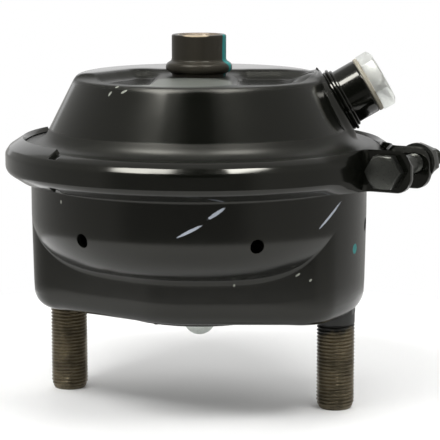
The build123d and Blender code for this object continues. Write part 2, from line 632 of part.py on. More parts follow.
def gaiter():
    """Rubber bellows from the floor opening up to the clip on the rod."""
    low = PLATE_TOP
    clip = GAITER_TOP - GAITER_SLEEVE
    first = low + GAITER_FOOT_H
    pitch = (clip - GAITER_NECK_H - first) / GAITER_FOLDS
    outside = [(GAITER_LOW_R + GAITER_FOOT_OUT, low)]
    for fold in range(GAITER_FOLDS):
        share = fold / (GAITER_FOLDS - 1)
        crest = GAITER_LOW_R + (GAITER_HIGH_R - GAITER_LOW_R) * share
        outside.append((crest, first + (fold + 0.5) * pitch))
        outside.append((crest - GAITER_FOLD, first + (fold + 1) * pitch))
    sleeve = ROD_R + GAITER_WALL
    outside += [(sleeve, clip - GAITER_NECK_H / 2), (sleeve, GAITER_TOP)]
    inside = [(ROD_R + SEAT_GAP, GAITER_TOP), (ROD_R + SEAT_GAP, clip - 1.5 * GAITER_NECK_H)]
    inside += [(x - GAITER_WALL, y) for x, y in reversed(outside[1:-2])]
    inside += [(GAITER_LOW_R - GAITER_WALL, low)]
    return turned(Polyline(*outside, *inside, close=True))


def gaiter_clip():
    """Spring clip that holds the top of the gaiter on the rod."""
    inner = ROD_R + GAITER_WALL + SEAT_GAP
    outer = ROD_R + GAITER_WALL + CLIP_T
    low = GAITER_TOP - (GAITER_SLEEVE + CLIP_H) / 2
    high = low + CLIP_H
    return turned(Polyline((inner, low), (outer, low), (outer, high), (inner, high), (inner, low)))


PIECES = {
    "lower_housing": lower_housing,
    "stud_plate": stud_plate,
    "mounting_studs": mounting_studs,
    "cover": cover,
    "axial_port_boss": axial_port_boss,
    "side_port_boss": side_port_boss,
    "plug_seal_ring": plug_seal_ring,
    "port_plug": port_plug,
    "clamp_ring": clamp_ring,
    "clamp_bolt": clamp_bolt,
    "clamp_washer": clamp_washer,
    "clamp_nut": clamp_nut,
    "diaphragm": diaphragm,
    "push_plate": push_plate,
    "pushrod": pushrod,
    "spring_seat": spring_seat,
    "return_spring": return_spring,
    "gaiter_lip": gaiter_lip,
    "gaiter_retainer": gaiter_retainer,
    "gaiter": gaiter,
    "gaiter_clip": gaiter_clip,
}

os.makedirs("parts", exist_ok=True)
for node, build_piece in PIECES.items():
    export_step(build_piece(), f"parts/{node}.step")
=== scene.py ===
import math
import bpy
import numpy as np
from mathutils import Matrix, Vector


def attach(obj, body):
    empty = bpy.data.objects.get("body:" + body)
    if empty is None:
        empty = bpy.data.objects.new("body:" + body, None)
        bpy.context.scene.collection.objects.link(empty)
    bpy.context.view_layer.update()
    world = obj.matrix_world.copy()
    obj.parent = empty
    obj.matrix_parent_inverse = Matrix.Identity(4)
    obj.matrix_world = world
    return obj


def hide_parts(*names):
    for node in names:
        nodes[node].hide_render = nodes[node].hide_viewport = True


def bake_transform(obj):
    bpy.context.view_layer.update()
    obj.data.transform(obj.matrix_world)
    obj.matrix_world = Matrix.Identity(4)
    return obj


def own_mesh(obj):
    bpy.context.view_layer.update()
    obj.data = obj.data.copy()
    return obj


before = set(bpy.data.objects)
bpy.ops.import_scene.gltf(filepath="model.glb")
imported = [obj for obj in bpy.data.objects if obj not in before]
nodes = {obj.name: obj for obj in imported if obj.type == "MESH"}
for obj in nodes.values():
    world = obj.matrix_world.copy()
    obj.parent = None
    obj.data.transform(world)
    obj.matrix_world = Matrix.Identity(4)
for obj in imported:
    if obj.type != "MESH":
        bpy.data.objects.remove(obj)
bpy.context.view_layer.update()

# Air brake chamber, dressed. Lengths in the tables are millimetres and angles degrees; meshes are
# in metres.

MM = 0.001

# ---- sizes ----------------------------------------------------------------------
WALL = 2.2
HOUSING_R = 71.3
BOWL_TOP = 41.0
BOWL_CORNER_R = 20.0
JOINT_Z = 64.2
FLANGE_R = 79.3
CLAMP_R = 82.0
CLAMP_T = 2.2
CLAMP_HALF_WEB = 4.3
SEAT_GAP = 0.05
TAN_SLOPE = math.tan(math.radians(33.0))
COS_SLOPE = math.cos(math.radians(33.0))
TAN_CONE = math.tan(math.radians(27.0))
COS_CONE = math.cos(math.radians(27.0))
SIN_SLOPE = math.sin(math.radians(33.0))
TAN_DRAFT = math.tan(math.radians(1.0))
CONE_R = 51.4                  # cover's cone at its top
SKIRT_Z = 71.0                 # flat ring outside the cone's foot
BASE_EDGE_R = 8.0
BOSS_R = 11.5
SIDE_BOSS_R = 12.0
PORT_PITCH = 1.5
BOLT_ANGLE = -11.3
BOLT_RADIUS = 90.3
BOLT_Z = 64.6
BOLT_R, BOLT_FLATS, WASHER_T = 4.0, 13.0, 1.6
COVER_TOP = 100.2
COVER_ANGLE = 17.0
STUD_X = 60.325
PLATE_TOP = 7.0                # reinforcing plate, above the mounting face
DISC_UNDER = 87.0              # underside of the push plate
ROD_R = 7.0
FRONT = 16.66 - 90.0           # direction of the camera from the chamber

# ---- small helpers -------------------------------------------------------------
def srgb(code):
    """The linear colour of an sRGB hex value."""
    parts = [int(code[i:i + 2], 16) / 255 for i in (0, 2, 4)]
    return tuple(c / 12.92 if c <= 0.04045 else ((c + 0.055) / 1.055) ** 2.4 for c in parts) + (1,)


def fill(node, inputs):
    """Gives each input its value, or links it from an output: the one given, or a node's first."""
    for key, value in inputs.items():
        if isinstance(value, bpy.types.Node):
            value = value.outputs[0]
        if isinstance(value, bpy.types.NodeSocket):
            node.id_data.links.new(value, node.inputs[key])
        else:
            node.inputs[key].default_value = value


def add_node(tree, kind, inputs=None, **settings):
    """A new node; a map range's inputs 1 to 4 are from low, from high, to low and to high."""
    new = tree.nodes.new(kind)
    for name, value in settings.items():
        setattr(new, name, value)
    fill(new, inputs or {})
    return new


def deselect():
    if bpy.context.object and bpy.context.object.mode != "OBJECT":
        bpy.ops.object.mode_set(mode="OBJECT")
    bpy.ops.object.select_all(action="DESELECT")


def pick(piece):
    deselect()
    piece.select_set(True)
    bpy.context.view_layer.objects.active = piece


def smooth(piece, angle):
    pick(piece)
    bpy.ops.object.shade_smooth_by_angle(angle=math.radians(angle))


def apply_all(piece):
    pick(piece)
    for modifier in list(piece.modifiers):
        bpy.ops.object.modifier_apply(modifier=modifier.name)


MERGE = bpy.ops.mesh.remove_doubles, {"threshold": 2e-7}
NO_SLIVERS = bpy.ops.mesh.dissolve_degenerate, {"threshold": 1e-7}
OUTWARDS = bpy.ops.mesh.normals_make_consistent, {"inside": False}


def edit(piece, *steps):
    """Runs operators, (operator, settings), on the piece's whole mesh."""
    pick(piece)
    bpy.ops.object.mode_set(mode="EDIT")
    for operator, settings in steps:
        bpy.ops.mesh.select_all(action="SELECT")
        operator(**settings)
    bpy.ops.object.mode_set(mode="OBJECT")


def around(radius, turn, height):
    """Places from cylindrical coordinates, which may be arrays."""
    return np.stack(np.broadcast_arrays(radius * np.cos(turn), radius * np.sin(turn), height), -1)


def primitive(name, operator, **settings):
    """A new piece from one of Blender's primitives."""
    deselect()
    operator(**settings)
    piece = bpy.context.object
    piece.name = name
    return piece


def turn_by(degrees, axis="Z"):
    return Matrix.Rotation(math.radians(degrees), 4, axis)


def shift_by(x, y, z):
    """A move by millimetres."""
    return Matrix.Translation((x * MM, y * MM, z * MM))


def place(piece, matrix):
    piece.data.transform(matrix)
    piece.data.update()


def combine(piece, tool, operation):
    """Cuts the piece by the tool, or keeps what they share, and removes the tool."""
    boolean = piece.modifiers.new("boolean", "BOOLEAN")
    boolean.operation = operation
    boolean.object = tool
    boolean.solver = "EXACT"
    apply_all(piece)
    bpy.data.objects.remove(tool)


def bore(piece, radius, depth, matrix):
    """Drills a round hole through the piece, along the z of the matrix."""
    drill = primitive("drill", bpy.ops.mesh.primitive_cylinder_add, vertices=40, radius=radius * MM,
                  depth=depth * MM)
    place(drill, matrix)
    combine(piece, drill, "DIFFERENCE")


def soften(piece, width, angle):
    """A small bevel on edges sharper than the angle."""
    bevel = piece.modifiers.new("edges", "BEVEL")
    bevel.width = width * MM
    bevel.segments = 2
    bevel.limit_method = "ANGLE"
    bevel.angle_limit = math.radians(angle)
    apply_all(piece)


def press(piece):
    """Gives an open sheet the wall of the pressings, inwards from its outside."""
    wall = piece.modifiers.new("wall", "SOLIDIFY")
    wall.thickness = WALL * MM
    wall.offset = -1
    apply_all(piece)


def join(name, parts):
    deselect()
    for part in parts:
        part.select_set(True)
    bpy.context.view_layer.objects.active = parts[0]
    bpy.ops.object.join()
    parts[0].name = name
    return parts[0]


def rounded(points, radii, steps=6):
    """An open line of points with its inner corners rounded, radii in the order of the corners."""
    line = [points[0]]
    for before, corner, after, radius in zip(points, points[1:], points[2:], radii):
        p, c, n = Vector(before), Vector(corner), Vector(after)
        u, v = (p - c).normalized(), (n - c).normalized()
        half = u.angle(v) / 2
        reach = radius / math.tan(half)
        middle = c + (u + v).normalized() * (radius / math.sin(half))
        first, last = c + u * reach - middle, c + v * reach - middle
        turn = first.angle_signed(last)
        for k in range(steps + 1):
            a = -turn * k / steps
            line.append((middle.x + first.x * math.cos(a) - first.y * math.sin(a),
                         middle.y + first.x * math.sin(a) + first.y * math.cos(a)))
    line.append(points[-1])
    return line


def sheet_of_points(name, places, inside=None):
    """A grid primitive whose vertices go to places[row][column], with meeting edges merged. An open
    sheet is turned to face away from a height inside it."""
    rows, columns = places.shape[:2]
    piece = primitive(name, bpy.ops.mesh.primitive_grid_add, x_subdivisions=columns - 1,
                  y_subdivisions=rows - 1, size=2)
    flat = np.empty(len(piece.data.vertices) * 3)
    piece.data.vertices.foreach_get("co", flat)
    flat = flat.reshape(-1, 3)
    i = np.rint((flat[:, 0] + 1) / 2 * (columns - 1)).astype(int)
    j = np.rint((flat[:, 1] + 1) / 2 * (rows - 1)).astype(int)
    piece.data.vertices.foreach_set("co", (places[j, i] * MM).ravel())
    while piece.data.uv_layers:
        piece.data.uv_layers.remove(piece.data.uv_layers[0])
    edit(piece, MERGE, NO_SLIVERS, OUTWARDS)
    if inside is not None:
        middle = Vector((0, 0, inside * MM))
        if sum(f.area * f.normal.dot(f.center - middle) for f in piece.data.polygons) < 0:
            piece.data.flip_normals()
    return piece


def turned_piece(name, section, steps):
    """A closed section, (radius, height) points, spun about the axis."""
    piece = primitive(name, bpy.ops.mesh.primitive_circle_add, vertices=len(section), radius=1)
    for vertex, (radius, height) in zip(piece.data.vertices, section):
        vertex.co = (radius * MM, 0, height * MM)
    spin = {"steps": steps, "angle": 2 * math.pi, "center": (0, 0, 0), "axis": (0, 0, 1)}
    edit(piece, (bpy.ops.mesh.spin, spin), MERGE, OUTWARDS)
    return piece


def paint(piece, material):
    piece.data.materials.clear()
    piece.data.materials.append(material)


def finish(piece, material, body, slot, *replaced):
    """Material, body, slot and the nodes it stands for; a blended piece rides on no body. Slot is not used.
    """
    paint(piece, material)
    if body:
        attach(piece, body)
    if replaced:
        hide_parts(*replaced)


# ---- materials -----------------------------------------------------------------
def new_material(name):
    """A material, its tree and shader, and the place on the object that lays its textures."""
    material = bpy.data.materials.new(name)
    material.use_nodes = True
    tree = material.node_tree
    place_in = add_node(tree, "ShaderNodeTexCoord").outputs["Object"]
    return material, tree, tree.nodes["Principled BSDF"], place_in


MARK_GRAIN_MM = 0.8


def mark(tree, place_in, start, end, half_width, ragged, depth=3.0):
    """Share of a mark, 0 to 1, along a line between two places in mm: a scuff, a dab or a strip of
    paint, and also a streak or patch of painted reflection. Its edge is torn by a fine noise."""
    a, b = Vector(start), Vector(end)
    along = b - a
    turn = along.to_track_quat("X", "Z").to_euler()
    size = Vector((along.length / 2 + half_width, max(half_width, depth), half_width)) * MM
    mapping = add_node(tree, "ShaderNodeMapping",
                       {"Vector": place_in, "Location": (a + b) / 2 * MM, "Rotation": turn,
                        "Scale": size}, vector_type="TEXTURE")
    fall = add_node(tree, "ShaderNodeTexGradient", {"Vector": mapping}, gradient_type="SPHERICAL")
    grain = add_node(tree, "ShaderNodeTexNoise", {"Vector": place_in, "Detail": 2.0,
                                                  "Scale": 1 / (MARK_GRAIN_MM * MM)})
    torn = add_node(tree, "ShaderNodeMath", {0: grain, 1: -2 * ragged, 2: 1.0 + ragged},
                    operation="MULTIPLY_ADD")
    edge = add_node(tree, "ShaderNodeMath", {0: fall.outputs["Fac"], 1: torn}, operation="MULTIPLY")
    return add_node(tree, "ShaderNodeMapRange", {0: edge, 1: 0.12, 2: 0.30})


def black_enamel(name, gloss=(0.10, 0.17), marks=(), flow_mm=18.0, tones=("070806", "0e0f0b"), dull=(),
                 streaks=1.0, specular=0.4):
    """Black dip enamel on steel: deep black, a clear soft-edged reflection that wanders with the
    paint's flow, a little dust in it. Gloss is the roughness from its clearest to its haziest
    places. Marks are (sRGB colour, start, end, half width, raggedness and, if not 3, depth) in mm;
    some of them are painted reflections. Dull holds rings where the paint has thinned: (low, high,
    roughness). Streaks above 1 draw the haze out along z by that much, and that drawn-out haze then
    sets the colour between the tones: upright bands of painted sheen, standing in for reflections in a
    round wall."""
    material, tree, shader, place_in = new_material(name)
    flow = add_node(tree, "ShaderNodeTexNoise", {"Vector": place_in, "Detail": 2.0,
                                                 "Scale": 1 / (flow_mm * MM)})
    dust = add_node(tree, "ShaderNodeTexNoise", {"Vector": place_in, "Scale": 900.0, "Detail": 3.0})
    drawn = add_node(tree, "ShaderNodeMapping", {"Vector": place_in, "Scale": (1, 1, 1 / streaks)})
    haze = add_node(tree, "ShaderNodeTexNoise", {"Vector": drawn, "Scale": 24.0 * streaks ** 0.5,
                                                 "Detail": 4.0})
    rough = add_node(tree, "ShaderNodeMapRange", {0: haze, 1: 0.35, 2: 0.7, 3: gloss[0], 4: gloss[1]})
    height = add_node(tree, "ShaderNodeSeparateXYZ", {0: place_in}).outputs[2]
    for low, high, roughness in dull:
        clear = rough
        rough = add_node(tree, "ShaderNodeMapRange", {0: height, 1: (low - 1) * MM, 2: (low + 1) * MM,
                                                      3: clear, 4: roughness})
        rough = add_node(tree, "ShaderNodeMapRange", {0: height, 1: (high - 0.5) * MM, 2: (high + 0.5) * MM,
                                                      3: rough, 4: clear})
    # with streaks the drawn-out haze sets the tone: painted sheen in upright bands; without them, dust
    dust_and_sheen = haze if streaks > 1 else dust
    tone = add_node(tree, "ShaderNodeMix", {0: dust_and_sheen, 6: srgb(tones[0]), 7: srgb(tones[1])},
                    data_type="RGBA")
    bump = add_node(tree, "ShaderNodeBump", {"Height": flow, "Strength": 0.12, "Distance": 0.0006})
    colour, dullness = tone.outputs[2], rough
    for code, start, end, half_width, ragged, *depth in marks:
        share = mark(tree, place_in, start, end, half_width, ragged, *depth)
        colour = add_node(tree, "ShaderNodeMix", {0: share, 6: colour, 7: srgb(code)},
                          data_type="RGBA").outputs[2]
        dullness = add_node(tree, "ShaderNodeMapRange", {0: share, 3: dullness, 4: 0.45})
    fill(shader, {"Base Color": colour, "Roughness": dullness, "Normal": bump,
                  "Specular Tint": (1.0, 0.99, 0.93, 1), "Specular IOR Level": specular})
    return material


def plain(name, code, second, metallic, roughness, grain_mm, depth=0.1):
    """A finish with fine grain: two tones, uneven gloss and a slight bump."""
    material, tree, shader, place_in = new_material(name)
    grain = add_node(tree, "ShaderNodeTexNoise",
                     {"Vector": place_in, "Scale": 1 / (grain_mm * MM), "Detail": 4.0})
    tone = add_node(tree, "ShaderNodeMix", {0: grain, 6: srgb(code), 7: srgb(second)}, data_type="RGBA")
    rough = add_node(tree, "ShaderNodeMapRange",
                     {0: grain, 1: 0.3, 2: 0.7, 3: roughness * 0.8, 4: roughness * 1.2})
    bump = add_node(tree, "ShaderNodeBump", {"Height": grain, "Strength": depth,
                                             "Distance": grain_mm * MM * 0.2})
    fill(shader, {"Base Color": tone.outputs[2], "Roughness": rough,
                  "Normal": bump, "Metallic": metallic})
    return material


def phosphated_steel():
    """Oiled manganese phosphate on rolled thread: brown grey, a soft metal shine, darker where the
    oil has gone, and black overspray from the housing down the top of one stud."""
    material, tree, shader, place_in = new_material("oiled phosphated steel")
    grain = add_node(tree, "ShaderNodeTexNoise", {"Vector": place_in, "Scale": 1100.0, "Detail": 4.0})
    smudge = add_node(tree, "ShaderNodeTexNoise", {"Vector": place_in, "Scale": 120.0, "Detail": 3.0})
    tone = add_node(tree, "ShaderNodeMix", {0: grain, 6: srgb("544c3b"), 7: srgb("8b816b")},
                    data_type="RGBA")
    worn = add_node(tree, "ShaderNodeMapRange", {0: smudge, 1: 0.42, 2: 0.72, 4: 0.65})
    oiled = add_node(tree, "ShaderNodeMix", {0: worn, 6: tone.outputs[2], 7: srgb("2e2a21")},
                     data_type="RGBA")
    split = add_node(tree, "ShaderNodeSeparateXYZ", {0: place_in})
    ragged = add_node(tree, "ShaderNodeMath", {0: smudge, 1: 0.016, 2: split.outputs[2]},
                      operation="MULTIPLY_ADD")
    sprayed = add_node(tree, "ShaderNodeMapRange", {0: ragged, 1: -0.001, 2: 0.002})
    this_stud = add_node(tree, "ShaderNodeMath", {0: split.outputs[0], 1: 0.0}, operation="GREATER_THAN")
    spray = add_node(tree, "ShaderNodeMath", {0: sprayed, 1: this_stud}, operation="MULTIPLY")
    colour = add_node(tree, "ShaderNodeMix", {0: spray, 6: oiled.outputs[2], 7: srgb("10110d")},
                      data_type="RGBA")
    metal = add_node(tree, "ShaderNodeMapRange", {0: spray, 3: 0.75, 4: 0.0})
    rough = add_node(tree, "ShaderNodeMapRange", {0: smudge, 1: 0.3, 2: 0.7, 3: 0.34, 4: 0.5})
    bump = add_node(tree, "ShaderNodeBump", {"Height": grain, "Strength": 0.2, "Distance": 0.0002})
    fill(shader, {"Base Color": colour.outputs[2], "Metallic": metal,
                  "Roughness": rough, "Normal": bump})
    return material


def rubberised_cloth():
    """Chloroprene rubber moulded on nylon cloth: near black, dull, the weave pressed into its face.
    Threads 1.2 mm apart, drawn a little coarse so that they show."""
    material, tree, shader, place_in = new_material("rubber moulded on nylon cloth")
    warp = add_node(tree, "ShaderNodeTexWave", {"Vector": place_in, "Scale": 130.0, "Distortion": 0.6},
                    bands_direction="X")
    weft = add_node(tree, "ShaderNodeTexWave", {"Vector": place_in, "Scale": 130.0, "Distortion": 0.6},
                    bands_direction="Y")
    weave = add_node(tree, "ShaderNodeMath", {0: warp.outputs["Fac"], 1: weft.outputs["Fac"]},
                     operation="MULTIPLY")
    bloom = add_node(tree, "ShaderNodeTexNoise", {"Vector": place_in, "Scale": 60.0, "Detail": 4.0})
    tone = add_node(tree, "ShaderNodeMix", {0: bloom, 6: srgb("0f0f0e"), 7: srgb("20201e")},
                    data_type="RGBA")
    bump = add_node(tree, "ShaderNodeBump", {"Height": weave, "Strength": 0.3, "Distance": 0.0003})
    fill(shader, {"Base Color": tone.outputs[2], "Normal": bump, "Roughness": 0.6})
    return material


# the first colour and the fourth are painted reflections: pale streaks on the housing, the grey of the
# backdrop on the cover's step
PAINTED_GLINT, TEAL, DUST, PAINTED_BACKDROP_GREY, BARE = "b9c0cc", "007f7d", "8d9086", "5a5d58", "b9a98f"
# dip enamel as it leaves the line: the ring, the plate and the side boss
enamel = black_enamel("gloss black dip enamel")
# the housing: handled, so hazier, two pale streaks at the front and one beside it that are painted
# reflections of a thin curved light, an inspector's dab of teal, four specks of dust
housing_enamel = black_enamel("gloss black dip enamel, handled", gloss=(0.17, 0.26), marks=(
    # pale bluish streaks: painted reflections of a thin curved light
    (PAINTED_GLINT, (12.3, -69.9, 41.1), (22.6, -67.6, 46.4), 0.75, 0.9),
    (PAINTED_GLINT, (24.1, -67.1, 48.4), (30.6, -64.4, 53.0), 0.9, 1.0),
    (PAINTED_GLINT, (60.7, -37.0, 40.9), (67.6, -22.8, 51.6), 0.7, 0.8),
    (TEAL, (70.5, -10.3, 28.4), (70.5, -10.3, 30.6), 1.55, 0.15),
    (DUST, (-39.8, -59.2, 51.0), (-39.8, -59.2, 51.8), 0.6, 0.5),
    (DUST, (28.0, -42.9, 17.8), (28.2, -42.9, 18.2), 0.5, 0.5),
    (DUST, (52.0, -36.0, 21.9), (53.4, -35.6, 22.9), 0.5, 0.6),
    (DUST, (57.4, -34.3, 19.9), (57.8, -34.3, 20.4), 0.5, 0.5)))
# the cover: three chips at the shoulder, a grey painted reflection of the pale backdrop on the step before
# the boss, dull round its bends
cover_enamel = black_enamel(
    "gloss black dip enamel, chipped", gloss=(0.11, 0.17),
    dull=((66.0, 77.0, 0.38), (96.6, 99.3, 0.45)), marks=(
        (DUST, (-22.4, -49.7, 94.0), (-21.4, -49.7, 95.4), 0.55, 1.0),
        (DUST, (-16.4, -51.4, 95.2), (-14.2, -51.6, 96.4), 0.55, 1.0),
        (DUST, (-19.6, -49.4, 97.2), (-18.4, -49.4, 97.6), 0.4, 1.0),
        # grey patch along the front step: a painted reflection of the pale backdrop
        (PAINTED_BACKDROP_GREY, (-3.1, -10.3, 98.4), (9.2, -51.5, 98.0), 1.7, 0.1, 27.0)))
# the axial boss: thin satin paint over turned steel, its lighter brownish tone in upright streaks a painted
# sheen, a strip of teal down it, bare at the rim
boss_enamel = black_enamel(
    # the lighter tone, drawn out in upright streaks, is painted sheen standing in for reflections in the
    # round wall
    "black enamel on turned steel", gloss=(0.26, 0.42), flow_mm=6.0, tones=("1a1915", "3b372f"), streaks=12.0,
    specular=0.2, marks=(
        (TEAL, (12.3, -0.6, 98.0), (12.3, -0.6, 120.0), 3.3, 0.1),
        (BARE, (-4.0, -10.7, 115.9), (7.6, -8.6, 115.9), 0.8, 0.9)))
cord_rubber = rubberised_cloth()
phosphate = phosphated_steel()
# the axial port's thread: cut steel with no paint, a little rust in it
bare_steel = plain("bare turned steel, a little rusted", "a0978a", "7a6b5b", 0.8, 0.45, 0.5)
# electroplated zinc, clear passivated: plug, push plate, spring seat, retainer and clip
zinc = plain("bright zinc plate", "eceeea", "e2e4e0", 0.88, 0.38, 1.2, 0.02)
# zinc plate passivated black: bolt, nut and washer
plated = plain("blackened plated steel", "3a3b38", "4c4d49", 0.8, 0.32, 0.7)
# coiled spring wire, black oxide and oil
spring_black = plain("spring steel, black oxide", "1c1c1a", "2a2a27", 0.5, 0.35, 1.0)
# moulded nitrile, matt from the mould's blasted wall: the gaiter and its lip
rubber = plain("black moulded rubber", "0e0e0d", "1a1a18", 0.0, 0.55, 0.5, 0.15)
# ground bar, zinc plated: the push rod and its ball end
ground_steel = plain("ground and zinc plated rod", "f4f9f4", "d2d8d2", 0.65, 0.45, 0.6, 0.03)
# pressed fibre sheet: the plug's seal ring
fibre = plain("pressed seal fibre", "8f8a7e", "a39c8b", 0.0, 0.7, 0.4, 0.3)


# ---- lower housing -------------------------------------------------------------
VENT_R, VENT_Z, VENT_START = 2.9, 37.0, 6.0


def rounded_loop(points, radii, steps=8):
    """A closed outline with rounded corners."""
    loop = []
    count = len(points)
    for k in range(count):
        line = rounded([points[k - 1], points[k], points[(k + 1) % count]], [radii[k]], steps)
        loop += line[1:-1]
    return loop


def base_radius(angles, height):
    """Radius of the drafted base wall in each direction, at a height: the round of the housing cut
    by four long sides, rounded in the middle of each pair and where they meet the stud columns."""
    slope = math.radians(16.2)
    shrink = (BOWL_TOP - height) * TAN_DRAFT
    depth = 51.6 - shrink / math.cos(slope)
    circle = HOUSING_R - shrink
    corner, middle = 16.0, 40.0
    along = Vector((math.cos(slope), -math.sin(slope)))
    outward = Vector((math.sin(slope), math.cos(slope)))
    touch = Vector((0, depth)) + along * middle * math.tan(slope)
    quarter = [(middle * math.sin(t), touch.y - middle * math.cos(slope) + middle * math.cos(t))
               for t in np.linspace(0, slope, 12)]
    # a round of the corner's radius touches the long side and, from inside, the housing's round
    level = Vector((0, depth)).dot(outward) - corner
    ahead = math.sqrt((circle - corner) ** 2 - level ** 2)
    centre = outward * level + along * ahead
    leave = centre + outward * corner
    quarter += [tuple(touch.lerp(leave, k / 30)) for k in range(1, 31)]
    end = math.atan2(centre.y, centre.x)
    quarter += [(centre.x + corner * math.cos(t), centre.y + corner * math.sin(t))
                for t in np.linspace(math.pi / 2 - slope, end, 16)[1:]]
    quarter += [(circle * math.cos(t), circle * math.sin(t)) for t in np.linspace(end, 0, 16)[1:]]
    q = np.array(quarter)
    folded = np.abs(np.arcsin(np.sin(angles)))
    return np.interp(folded, np.arctan2(q[:, 1], q[:, 0])[::-1], np.hypot(q[:, 0], q[:, 1])[::-1])


def housing_profile(base_low, base_high, lean):
    """Outside line of the housing in one direction, from the opening to the flange rim."""
    edge = BASE_EDGE_R / lean
    opening, seat_out, seat_depth = 33.0, 36.1, 0.6
    line = [(opening, seat_depth), (seat_out - 0.3, seat_depth), (seat_out - 0.3, 0.05), (seat_out, 0.0)]
    line += [(seat_out + (base_low - edge - seat_out) * k / 6, 0.0) for k in range(1, 7)]
    line += [(base_low - edge + edge * math.sin(t), BASE_EDGE_R * (1 - math.cos(t)))
             for t in (math.radians(9 * k) for k in range(1, 11))]
    run = (base_high - base_low) / BOWL_TOP
    wall_r = lambda z: base_low + run * z
    centre_r, centre_z, crease = HOUSING_R - BOWL_CORNER_R, BOWL_TOP, 3.5
    # concave fillet between the drafted wall and the bowl's arc
    reach = BOWL_CORNER_R + crease
    low, high = -5.0, BOWL_TOP
    for _ in range(40):
        z = (low + high) / 2
        if math.hypot(wall_r(z) + crease - centre_r, z - centre_z) > reach:
            low = z
        else:
            high = z
    fillet_z = min(z, BOWL_TOP)
    blend = (wall_r(fillet_z) + crease, fillet_z)
    touch_wall = max(BASE_EDGE_R + 0.2, min(fillet_z, BOWL_TOP - 0.5))
    aim = math.atan2(blend[1] - centre_z, blend[0] - centre_r)
    line += [(wall_r(z), z) for z in (BASE_EDGE_R + (touch_wall - BASE_EDGE_R) * k / 8 for k in range(1, 9))]
    line += [(blend[0] + crease * math.cos(t), blend[1] + crease * math.sin(t))
             for t in (math.pi + aim * k / 10 for k in range(1, 11))]
    line += [(centre_r + BOWL_CORNER_R * math.cos(t), centre_z + BOWL_CORNER_R * math.sin(t))
             for t in (aim * (1 - k / 14) for k in range(1, 15))]
    flare = JOINT_Z - clamp_height(HOUSING_R, SEAT_GAP)
    rim = JOINT_Z - clamp_height(FLANGE_R, SEAT_GAP)
    upper = rounded([(HOUSING_R, BOWL_TOP), (HOUSING_R, flare), (FLANGE_R, rim)], [3.0], 7)
    line += [(HOUSING_R, BOWL_TOP + (upper[1][1] - BOWL_TOP) * k / 5) for k in range(1, 5)]
    return line + upper[1:]


def clamp_height(radius, inset):
    face = CLAMP_HALF_WEB + (CLAMP_R - radius) * TAN_SLOPE
    return face - (CLAMP_T + inset) / COS_SLOPE


def lower_housing():
    columns = 400
    turns = np.linspace(0, 2 * math.pi, columns + 1)
    low, high = base_radius(turns, 0.0), base_radius(turns, BOWL_TOP)
    lean = np.cos(np.arctan(np.gradient(low, turns) / low))
    lines = [housing_profile(a, b, c) for a, b, c in zip(low, high, lean)]
    radius, height = np.moveaxis(np.array(lines), 2, 0)
    piece = sheet_of_points("housing_pressing", around(radius.T, turns, height.T), inside=50)
    press(piece)
    outwards = shift_by(HOUSING_R, 0, VENT_Z) @ turn_by(90, "Y")
    for vent in range(6):
        bore(piece, VENT_R, 12, turn_by(VENT_START + 60 * vent) @ outwards)
    smooth(piece, 40)
    finish(piece, housing_enamel, "chamber", "black_paint", "lower_housing")


# ---- cover ----------------------------------------------------------------------
STEP_PLAN = [(-66, -70), (66, -70), (64, -28), (49, -15), (45, 6), (37, 13), (12, 13),
             (-16, 15), (-25, 19), (-33, 8), (-43, -6), (-66, -14)]
RIGHT_POCKET = [(15, -37), (29, -34), (41, -22), (43, -8), (41, 6), (34, 11.5), (20, 11.5), (17, 2)]
LEFT_POCKET = [(-21, -37), (-19, 12), (-25, 17), (-33, 6), (-41, -7), (-39, -19), (-32, -30)]
STEP_RISE = 1 / math.tan(math.radians(40.0))
# land of the side port: its radius, the width of its bend, its depth from the port's face, how deep
# the bend reaches
LAND_R, LAND_BEND, LAND_DEPTH, LAND_REACH = 19.0, 4.4, -13.6, -27.0


def outside_distance(x, y, loop):
    """Distance from a closed outline, negative inside it."""
    best = np.full(x.shape, 1e9)
    inside = np.zeros(x.shape, bool)
    for (ax, ay), (bx, by) in zip(loop, loop[1:] + loop[:1]):
        ex, ey = bx - ax, by - ay
        t = np.clip(((x - ax) * ex + (y - ay) * ey) / (ex * ex + ey * ey), 0, 1)
        best = np.minimum(best, np.hypot(x - ax - t * ex, y - ay - t * ey))
        if ey:
            cross = (ay > y) != (by > y)
            inside ^= cross & (x < ex * (y - ay) / ey + ax)
    return np.where(inside, -best, best)


def soft_max(a, b, round_mm):
    return (a + b + np.sqrt((a - b) ** 2 + round_mm ** 2)) / 2


def port_matrix():
    """Frame on the side port's face, z along the port's axis, outwards; millimetres."""
    out = Vector((math.cos(math.radians(30)), 0, math.sin(math.radians(30))))
    side = Vector((0, 1, 0))
    up = out.cross(side)
    frame_in = Matrix((side, up, out)).transposed().to_4x4()
    frame_in.translation = Vector((70.7, 0, 94.3))
    return turn_by(COVER_ANGLE) @ frame_in


def in_metres(matrix):
    copy = matrix.copy()
    copy.translation = copy.translation * MM
    return copy


def cone(z, inset=0.0):
    """Radius of the cover's cone at a height, or of a cone so far inside it."""
    return CONE_R + (COVER_TOP - z) * TAN_CONE - inset / COS_CONE


